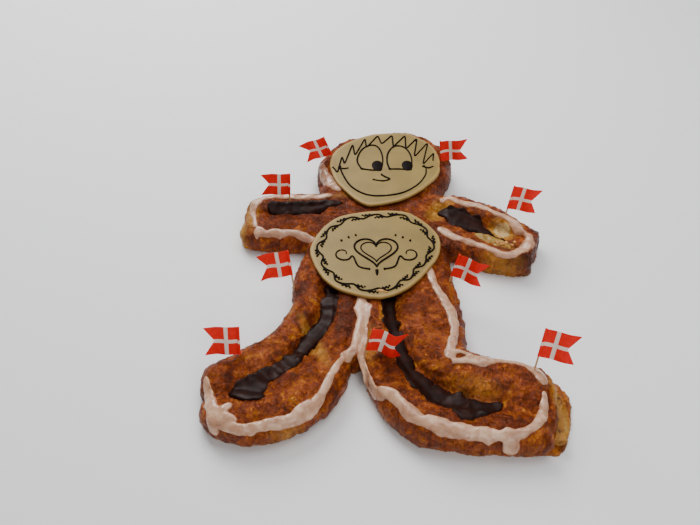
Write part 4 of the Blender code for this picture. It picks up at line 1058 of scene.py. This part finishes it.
def stations_on(tree, stroke, flat, wobble, seed):
    """Points of a stroke on the dough, each with the direction out of it and a half width."""
    stations = []
    path = spline([point if len(point) == 4 else (*point, 0.0) for point in stroke], STROKE_STEP)
    lengths = run_length(path)
    for i, (x, y, half_width, height) in enumerate(path):
        tangent = direction_at(path, i)
        along = lengths[i]
        shift = uneven(wobble * SHIFT_SHARE * half_width, SHIFT_SPACING, along, seed, 4.0)
        width = half_width * (1.0 + wobble * (uneven(WIDTH_SHARE, WIDTH_SPACING, along, seed)
                                              + uneven(RAGGED_SHARE, RAGGED_SPACING, along, seed, 9.0)))
        x, y = x - tangent.y * shift, y + tangent.x * shift
        if height < LEAST_DRIP_HEIGHT:
            hit, normal = surface_below(tree, x, y)
        else:
            hit, normal, _, _ = tree.find_nearest(Vector((x, y, height)))
        if hit is not None:
            stations.append((hit, normal, width))
    softened = []
    reach = max(2, round(NORMAL_REACH / STROKE_STEP))
    for i in range(len(stations)):
        near = stations[max(0, i - reach):i + reach + 1]
        normal = sum((station[1] for station in near), 0.25 * len(near) * UP).normalized()
        close = stations[max(0, i - 2):i + 3]
        middle = sum((station[0] for station in close), Vector()) / len(close)
        softened.append((middle, UP if flat else normal, stations[i][2]))
    return softened


def stroke_mesh(tree, stroke, thickness, fill, starts_buried, wobble, seed):
    """A poured stroke on the dough, level on top, round at its edges and filling what it lies over."""
    stations = stations_on(tree, stroke, fill > 0.0, wobble, seed)
    columns = np.linspace(-1.0, 1.0, STROKE_COLUMNS)
    points = [station[0] for station in stations]
    lengths = [0.0]
    for first, second in zip(points, points[1:]):
        lengths.append(lengths[-1] + (second - first).length)
    depth = np.zeros((len(stations), len(columns)))
    frames = []
    for i, (hit, normal, half_width) in enumerate(stations):
        tangent = points[min(i + 2, len(points) - 1)] - points[max(i - 2, 0)]
        side = normal.cross(tangent).normalized()
        to_end = lengths[-1] - lengths[i]
        if not starts_buried:
            to_end = min(to_end, lengths[i])
        share = rounded_share(to_end, STROKE_END, STROKE_LEAST_SHARE)
        frames.append((hit, normal, side, half_width * share, share))
        for j, across in enumerate(columns):
            start = hit + side * across * half_width * share
            found, _, _, _ = tree.ray_cast(start + normal * PROBE_HEIGHT, -normal, 2.0 * PROBE_HEIGHT)
            depth[i, j] = (found - start).dot(normal) if found is not None else depth[i, j - 1]
    level = depth.copy()
    for _ in range(CHOCOLATE_LEVELLING if fill else ICING_LEVELLING):
        padded = np.pad(level, ((2, 2), (1, 1)), mode="edge")
        level = (padded[0:-4, 1:-1] + padded[1:-3, 1:-1] + 2 * padded[2:-2, 1:-1] + padded[3:-1, 1:-1]
                 + padded[4:, 1:-1] + padded[2:-2, :-2] + padded[2:-2, 2:]) / 8.0
    brim = 0.5 * (level[:, 0] + level[:, -1])
    level = np.maximum(level, depth - 0.4)
    level = np.maximum(level, fill * brim[:, None] + (1.0 - fill) * level)
    rings = []
    for i, (hit, normal, side, half_width, share) in enumerate(frames):
        top, bottom = [], []
        thick = thickness * (0.55 + 0.45 * share)
        thick *= 1.0 + uneven(THICKNESS_SHARE, THICKNESS_SPACING, lengths[i], seed, 17.0)
        for j, across in enumerate(columns):
            hold = abs(across) ** 4
            base = level[i, j] * (1.0 - hold) + depth[i, j] * hold
            arch = (1.0 - abs(across) ** 2.6) ** 0.55 if abs(across) < 1.0 else 0.0
            start = hit + side * across * half_width
            top.append(start + normal * (base + thick * arch))
            bottom.append(start + normal * (depth[i, j] - STROKE_ROOT))
        rings.append(top + bottom[::-1])
    return loft(rings)


def widened(stroke, spread):
    """A stroke as many times wider as spread."""
    return [(x, y, half_width * spread, *rest) for x, y, half_width, *rest in stroke]


def pour(name, strokes, tree, thickness, fill, spread, wobble):
    """One piece of icing or chocolate."""
    meshes = []
    for i, stroke in enumerate(strokes):
        meshes.append(stroke_mesh(tree, widened(stroke, spread), thickness, fill, i > 0, wobble,
                                  3.7 * i + len(name)))
    smoothing = CHOCOLATE_SMOOTHING if fill else ICING_SMOOTHING
    body = grown_together(name + "_poured", meshes, POURED_VOXEL, smoothing)
    ripples = [RIPPLE_HEIGHT * noise_near(Vector(point), RIPPLE_SPACING) for point in coordinates(body.data)]
    points = seated(pushed_out(body, ripples), PLAQUE_SEAT - 0.1)
    set_coordinates(body.data, points)
    thin = []
    for point in points:
        hit, normal, _, _ = tree.find_nearest(Vector(point))
        thin.append(1.0 - min(1.0, max(0.0, (Vector(point) - hit).dot(normal)) / (0.75 * thickness)))
    mark(body, "thin", thin)
    veil = np.full(len(points), ICING_VEILS.get(name, 0.0))
    if name == "icing_head":
        veil *= 1.0 - 0.8 * np.clip((HEAD_VEIL_END - points[:, 1]) / HEAD_VEIL_FADE, 0.0, 1.0)
    mark(body, "veil", veil)
    return body


def make_poured(tree):
    """All icing and chocolate."""
    icing = icing_material()
    chocolate = chocolate_material()
    for node, strokes in ICING_STROKES.items():
        body = pour(node, strokes, tree, ICING_THICKNESS, 0.0, ICING_SPREAD, ICING_WOBBLE)
        finish_piece(body, icing, [node])
    for node, strokes in CHOCOLATE_STROKES.items():
        body = pour(node, strokes, tree, CHOCOLATE_THICKNESS, CHOCOLATE_FILL, CHOCOLATE_SPREAD,
                    CHOCOLATE_WOBBLES[node])
        finish_piece(body, chocolate, [node])


# Plaques

def sag_at(x, y):
    """How far a plaque's top stands above or below flat, at a place measured from its middle."""
    return SAG_HEIGHT * noise.noise(Vector((x / SAG_SPACING, y / SAG_SPACING, 3.0)))


def plaque_mesh(outline, centre, nick=None):
    """A flat disc of rolled marzipan with a round edge, as rings from under its middle to its top's."""
    edge = spline(outline, PLAQUE_STEP, cyclic=True)
    levels = [(growth, None, z) for growth, z in PLAQUE_RIM]
    levels += [(None, share, PLAQUE_TOP - PLAQUE_SEAT) for share in PLAQUE_SHARES]
    rings = []
    for growth, share, z in levels:
        ring = []
        for x, y in edge:
            jitter = 0.45 * noise.noise(Vector((x / 7.0, y / 7.0, centre[1])))
            if nick and math.dist((x, y), nick) < NICK_REACH:
                jitter -= NICK_DEPTH * abs(math.sin(1.9 * math.dist((x, y), nick)))
            scale = share if share is not None else 1.0 + (growth + jitter) / math.hypot(x, y)
            ring.append(Vector((centre[0] + x * scale, centre[1] + y * scale,
                                PLAQUE_SEAT + z + sag_at(x * scale, y * scale))))
        rings.append(ring)
    return loft(rings)


def thread_mesh(points, centre, radius, start_drop=1.5, end_taper=0.75, cyclic=False, seed=0.0):
    """A thread piped on a plaque: a drop where it starts, uneven, thinner where it ends."""
    path = spline(points, THREAD_STEP, cyclic)
    lengths = run_length(path)
    rings = []
    count = len(path)
    for i, (x, y) in enumerate(path):
        if cyclic:
            ahead, behind = path[(i + 1) % count], path[i - 1]
            tangent = Vector((ahead[0] - behind[0], ahead[1] - behind[1])).normalized()
            size = radius
        else:
            tangent = direction_at(path, i)
            share = lengths[i] / max(lengths[-1], 0.01)
            size = radius * (1.0 + (start_drop - 1.0) * math.exp(-(lengths[i] / DROP_LENGTH) ** 2))
            size *= 1.0 - (1.0 - end_taper) * max(0.0, share - 0.6) / 0.4
            if i in (0, count - 1):
                size *= THREAD_TIP_SHARE
        size *= 1.0 + uneven(0.16, 4.0, lengths[i], seed, 1.0)
        ring = []
        for turn in turns(THREAD_SIDES):
            across = size * math.cos(turn)
            ring.append(Vector((centre[0] + x - tangent.y * across, centre[1] + y + tangent.x * across,
                                PLAQUE_TOP + sag_at(x, y) + 0.25 * size + 0.8 * size * math.sin(turn))))
        rings.append(ring)
    return loft(rings, cyclic)


def pupil_mesh(place):
    """A thick oval drop of chocolate."""
    mesh = bmesh.new()
    bmesh.ops.create_uvsphere(mesh, u_segments=32, v_segments=16, radius=1.0)
    for vertex in mesh.verts:
        x = place[0] + vertex.co.x * PUPIL_SIZE[0] * (1.0 + 0.04 * math.sin(3.0 * vertex.co.y))
        y = place[1] + vertex.co.y * PUPIL_SIZE[1]
        z = PLAQUE_TOP + signed_power(vertex.co.z, 0.6) * PUPIL_HEIGHT
        vertex.co = (FACE_CENTRE[0] + x, FACE_CENTRE[1] + y, z)
    return mesh


def outline_radius(outline, turn):
    """How far a smooth outline reaches from its middle in one direction."""
    def turn_from(point):
        return abs(math.remainder(math.atan2(point[1], point[0]) - turn, math.tau))
    return math.hypot(*min(spline(outline, 1.0, cyclic=True), key=turn_from))


def vine_meshes():
    """The belly's border: a wavy stem, with a leafy spray in each of its hollows."""
    table = [outline_radius(BELLY_OUTLINE, turn) for turn in turns(VINE_DIRECTIONS)]

    def place(turn, out):
        """A place so far outside the border's middle line."""
        spot = turn % math.tau / math.tau * VINE_DIRECTIONS
        low = int(spot) % VINE_DIRECTIONS
        reach = table[low] + (table[(low + 1) % VINE_DIRECTIONS] - table[low]) * (spot - int(spot))
        reach = reach - VINE_INSET + out
        return (reach * math.cos(turn), reach * math.sin(turn))

    def stem(turn):
        """How far the stem is outside the middle line."""
        return 3.0 * math.sin(VINE_WAVES * turn) + 0.5 * math.sin(2 * VINE_WAVES * turn + 0.8)

    def branch(start, side, t):
        """The turn of a point of a branch, and how far it is outside the middle line."""
        return start + t * BRANCH_SPAN * math.tau / VINE_WAVES, side * (2.6 - 0.2 * t)

    points = [place(turn, stem(turn)) for turn in turns(VINE_POINTS)]
    meshes = [thread_mesh(points, BELLY_CENTRE, VINE_RADIUS, cyclic=True, seed=2.0)]
    for wave in range(VINE_WAVES):
        for side, offset in ((1.0, 0.30), (-1.0, 0.80)):
            start = math.tau * (wave + offset) / VINE_WAVES
            points = [place(*branch(start, side, t)) for t in (0.0, 0.35, 0.7, 1.0)]
            meshes.append(thread_mesh(points, BELLY_CENTRE, BRANCH_RADIUS, 1.0, 0.8, seed=wave))
            for t, way, reach in LEAVES:
                turn, out = branch(start, side, t)
                points = [place(turn + 0.037, out + side * way * reach),
                          place(turn + 0.020, out + side * way * 0.75 * reach), place(turn, out)]
                meshes.append(thread_mesh(points, BELLY_CENTRE, LEAF_RADIUS, 1.1, 0.6, seed=wave + t))
    return meshes


def heart_point(turn, size):
    """A point of a heart drawn round the middle of the belly."""
    x = 16.0 * math.sin(turn) ** 3
    y = 13.0 * math.cos(turn) - 5.0 * math.cos(2 * turn) - 2.0 * math.cos(3 * turn) - math.cos(4 * turn)
    return (x * size / 16.0, y * size / 16.0 + 2.0)


def scroll(side):
    """A stem from beside the heart's point, bending outwards and rolling up at its end."""
    points = [(side * 8.0, -31.0), (side * 22.0, -26.0)]
    for i in range(11):
        turn = 0.62 * i - 1.2
        reach = 13.0 - 0.95 * i
        points.append((side * (41.0 + reach * math.sin(turn)), -4.0 - reach * math.cos(turn)))
    return points


def heart_meshes():
    """A piped double heart between two scrolls, with drops round it."""
    meshes = [thread_mesh([heart_point(turn, size) for turn in turns(60)], BELLY_CENTRE, radius,
                          cyclic=True, seed=size) for size, radius in HEARTS]
    for side in (-1.0, 1.0):
        meshes.append(thread_mesh(scroll(side), BELLY_CENTRE, 1.2, 1.6, 0.6, seed=7.0 + side))
        for x, y in HEART_DROPS:
            meshes.append(thread_mesh([(side * x, y), (side * (x + 2.6), y - 1.3)], BELLY_CENTRE, 2.2, 1.1,
                                      0.5, seed=x))
    meshes.append(thread_mesh([(0.0, -32.0), (0.0, -42.0)], BELLY_CENTRE, 1.8, 1.3, 0.3, seed=3.0))
    return meshes


def face_meshes():
    """The piped face: lines, fringe, drops where lines start, and pupils."""
    meshes = [thread_mesh(line, FACE_CENTRE, 1.3, 1.6, 0.7, seed=i) for i, line in enumerate(FACE_LINES)]
    path = []
    for first, second in zip(HAIR_POINTS, HAIR_POINTS[1:]):
        path += [first, tuple(0.5 * (a + b) for a, b in zip(first, second))]
    meshes.append(thread_mesh(path + [HAIR_POINTS[-1]], FACE_CENTRE, 1.2, 1.7, 0.8, seed=11.0))
    for x, y in FACE_DROPS:
        meshes.append(thread_mesh([(x, y), (x + 1.6, y + 0.2), (x + 3.2, y)], FACE_CENTRE, 1.75, 1.0, 0.9,
                                  seed=x))
    return meshes + [pupil_mesh(place) for place in PUPILS]


def make_plaques():
    """Both plaques and what is piped on them."""
    marzipan = marzipan_material()
    piping = piping_material()
    for name, outline, centre, node, nick in (
            ("face_disc", FACE_OUTLINE, FACE_CENTRE, "plaque_face", FACE_NICK),
            ("belly_disc", BELLY_OUTLINE, BELLY_CENTRE, "plaque_belly", None)):
        disc = plan_object(name, plaque_mesh(outline, centre, nick))
        inner = inside_share(coordinates(disc.data), outline, centre, -PLAQUE_RIM_WIDTH)
        mark(disc, "rim", np.where(inner, 0.0, 1.0))
        finish_piece(disc, marzipan, [node])
    for name, meshes in (("face_piping", face_meshes()), ("belly_piping", vine_meshes() + heart_meshes())):
        finish_piece(plan_object(name, joined(meshes)), piping, [])


# Custard, crumbs and flags

def make_custards():
    """The custard in the opened arm and at the end of the foot."""
    material = custard_material()
    for name, (points, low, high) in CUSTARDS.items():
        body = grown_together(name + "_filling", [custard_mesh(points, low, high, 0.0)], CUSTARD_VOXEL, 3)
        heights = [1.1 * noise_near(Vector(spot), 6.0) + 0.5 * noise_near(Vector(spot), 2.6)
                   for spot in coordinates(body.data)]
        set_coordinates(body.data, pushed_out(body, heights))
        mark(body, "browned", np.full(len(heights), CUSTARD_BROWNING[name]))
        finish_piece(body, material, [name])


def crumb_mesh(place, size, offset):
    """One lumpy, flattened crumb."""
    mesh = bmesh.new()
    bmesh.ops.create_icosphere(mesh, subdivisions=2, radius=1.0)
    for vertex in mesh.verts:
        vertex.co *= 1.0 + 0.45 * noise.noise(vertex.co * 0.9 + offset)
        vertex.co *= Vector(size)
    bmesh.ops.translate(mesh, verts=mesh.verts, vec=place)
    return mesh


def make_crumbs(tree):
    """Golden crumbs on the custard of the arm, and a flake of crust that fell on the belly plaque."""
    rng = random.Random(CRUMB_SEED)
    meshes = [crumb_mesh((x, y, PLAQUE_TOP + 0.2), size, Vector(offset))
              for x, y, size, offset in FALLEN_FLAKE]
    for _ in range(CRUMB_COUNT):
        x = rng.gauss(154, 5.5)
        y = rng.gauss(26, 3.5)
        hit, _ = surface_below(tree, x, y)
        height = max(hit.z, ARM_CUSTARD_TOP) if hit is not None else ARM_CUSTARD_TOP
        size = rng.uniform(0.9, 2.4)
        offset = Vector((rng.random() * 50, rng.random() * 50, 0))
        meshes.append(crumb_mesh((x, y, height + 0.3 * size), (size, size, 0.7 * size), offset))
    finish_piece(plan_object("golden_crumbs", joined(meshes)), crumb_material(), [])


def flag_matrix(foot, lean_x, lean_y, side, turn):
    """Place of a flag: +Z up its stick and +X the way it flies."""
    up = Vector((math.tan(math.radians(lean_x)), math.tan(math.radians(lean_y)), 1.0)).normalized()
    fly = Vector((side * math.cos(math.radians(turn)), math.sin(math.radians(turn)), 0.0))
    fly = (fly - up * fly.dot(up)).normalized()
    matrix = Matrix((fly, up.cross(fly), up)).transposed().to_4x4()
    matrix.translation = Vector(foot)
    return matrix


def paper_sheet(name, length, wave):
    """A flag's paper: round the stick, then out in a gentle wave to its swallow tail."""
    mesh = bmesh.new()
    uv = mesh.loops.layers.uv.new("flag")
    sleeve = STICK_RADIUS + SLEEVE_ROOM
    grid, marks = [], {}
    for r in range(FLAG_ROWS + 1):
        row = r / FLAG_ROWS
        reach = FLAG_WIDTH - FLAG_NOTCH * (1.0 - abs(2.0 * row - 1.0))
        line = []
        for c in range(-SLEEVE_STEPS, FLAG_COLUMNS + 1):
            if c < 0:
                turn = math.radians(SLEEVE_TURN * (c + SLEEVE_STEPS + 1))
                x, y = sleeve * math.cos(turn), sleeve * math.sin(turn)
                along = sleeve * (turn - math.tau)
            else:
                share = c / FLAG_COLUMNS
                x = FLAG_START + (reach - FLAG_START) * share
                near = min(1.0, 5.0 * share)
                y = wave * math.sin(1.1 * math.tau * x / FLAG_WIDTH + 0.6 * row) * min(1.0, 1.6 * share)
                flutter = 0.5 * noise.noise(Vector((x / 11.0, row * 3.0, wave + length)))
                y += flutter * near - 0.5 * (1.0 - near)
                along = x
            vertex = mesh.verts.new((x, y, length - FLAG_HOIST * (1.0 - row)))
            marks[vertex] = (along, row * FLAG_HOIST)
            line.append(vertex)
        grid.append(line)
    for low, high in zip(grid, grid[1:]):
        for c in range(len(low) - 1):
            face = mesh.faces.new((low[c], low[c + 1], high[c + 1], high[c]))
            for loop in face.loops:
                loop[uv].uv = marks[loop.vert]
    sheet = plan_object(name, mesh)
    thick = sheet.modifiers.new("paper", "SOLIDIFY")
    thick.thickness = PAPER_THICKNESS
    thick.offset = 0.0
    return baked(sheet)


def pick_mesh(length):
    """A round wooden pick with a point below."""
    levels = ((-STICK_SUNK, 0.2), (-STICK_SUNK + 2.0, 0.55), (-STICK_SUNK + 7.0, 1.0), (length - 1.2, 1.0),
              (length - 0.4, 0.85), (length, 0.5))
    return loft([[Vector((STICK_RADIUS * share * math.cos(turn), STICK_RADIUS * share * math.sin(turn), z))
                  for turn in turns(STICK_SIDES)] for z, share in levels])


def make_flags():
    """Every flag on its pick."""
    paper = paper_material()
    wood = wood_material()
    for name, (foot, lean_x, lean_y, length, side, turn, wave) in FLAGS.items():
        matrix = flag_matrix(foot, lean_x, lean_y, side, turn)
        sheet = paper_sheet("paper_" + name, length, wave)
        sheet.data.transform(matrix)
        finish_piece(sheet, paper, ["flag_" + name], crease=FLAG_CREASE)
        pick = plan_object("pick_" + name, pick_mesh(length - 0.5))
        pick.data.transform(matrix)
        finish_piece(pick, wood, ["stick_" + name], crease=FLAG_CREASE)


# Floor, light and camera, in metres

FLOOR_CORNERS = [(-6, -6, 0), (6, -6, 0), (6, 6, 0), (-6, 6, 0)]
FLOOR_COLOUR = (0.92, 0.92, 0.92, 1.0)
SKY_COLOUR = (0.95, 0.97, 1.0, 1.0)
SKY_STRENGTH = 0.24
LIGHTS = (("window", (-0.6, 1.3, 1.4), 43.0), ("above", (0.4, 0.3, 1.8), 16.0),
          ("front", (0.6, -1.6, 1.2), 13.0))
LIGHT_SIZE = 1.2
LIGHT_AIM = (0.0, 0.0, 0.02)
CAMERA_PLACE = (-0.0426, -0.6528, 0.670)
CAMERA_TILT = 45.0
PHOTO_WIDTH = 700.0
FOCAL_LENGTH = 730.0
SENSOR_WIDTH = 36.0


def make_stage():
    """The floor, the lights and the camera."""
    data = bpy.data.meshes.new("floor")
    data.from_pydata(FLOOR_CORNERS, [], [(0, 1, 2, 3)])
    pale = Nodes("pale_floor").surface(Base_Color=FLOOR_COLOUR, Roughness=0.7, Specular_IOR_Level=0.2)
    data.materials.append(pale)
    new_object("floor", data)

    world = bpy.data.worlds.new("studio")
    world.use_nodes = True
    background = world.node_tree.nodes["Background"]
    background.inputs["Color"].default_value = SKY_COLOUR
    background.inputs["Strength"].default_value = SKY_STRENGTH
    bpy.context.scene.world = world

    for name, place, power in LIGHTS:
        light = bpy.data.lights.new(name, "AREA")
        light.size = LIGHT_SIZE
        light.energy = power
        lamp = new_object(name, light)
        lamp.location = place
        lamp.rotation_euler = (Vector(LIGHT_AIM) - Vector(place)).to_track_quat("-Z", "Y").to_euler()

    camera = bpy.data.cameras.new("camera")
    camera.sensor_width = SENSOR_WIDTH
    camera.sensor_fit = "HORIZONTAL"
    camera.lens = SENSOR_WIDTH * FOCAL_LENGTH / PHOTO_WIDTH
    camera.clip_start = 0.05
    eye = new_object("camera", camera)
    eye.location = CAMERA_PLACE
    eye.rotation_euler = (math.radians(CAMERA_TILT), 0.0, 0.0)
    bpy.context.scene.camera = eye


make_stage()
dough = make_dough()
dough_tree = tree_of(dough)
make_poured(dough_tree)
make_crumbs(dough_tree)
finish_piece(dough, crust_material(), ["pastry_man"])
make_custards()
make_plaques()
make_flags()
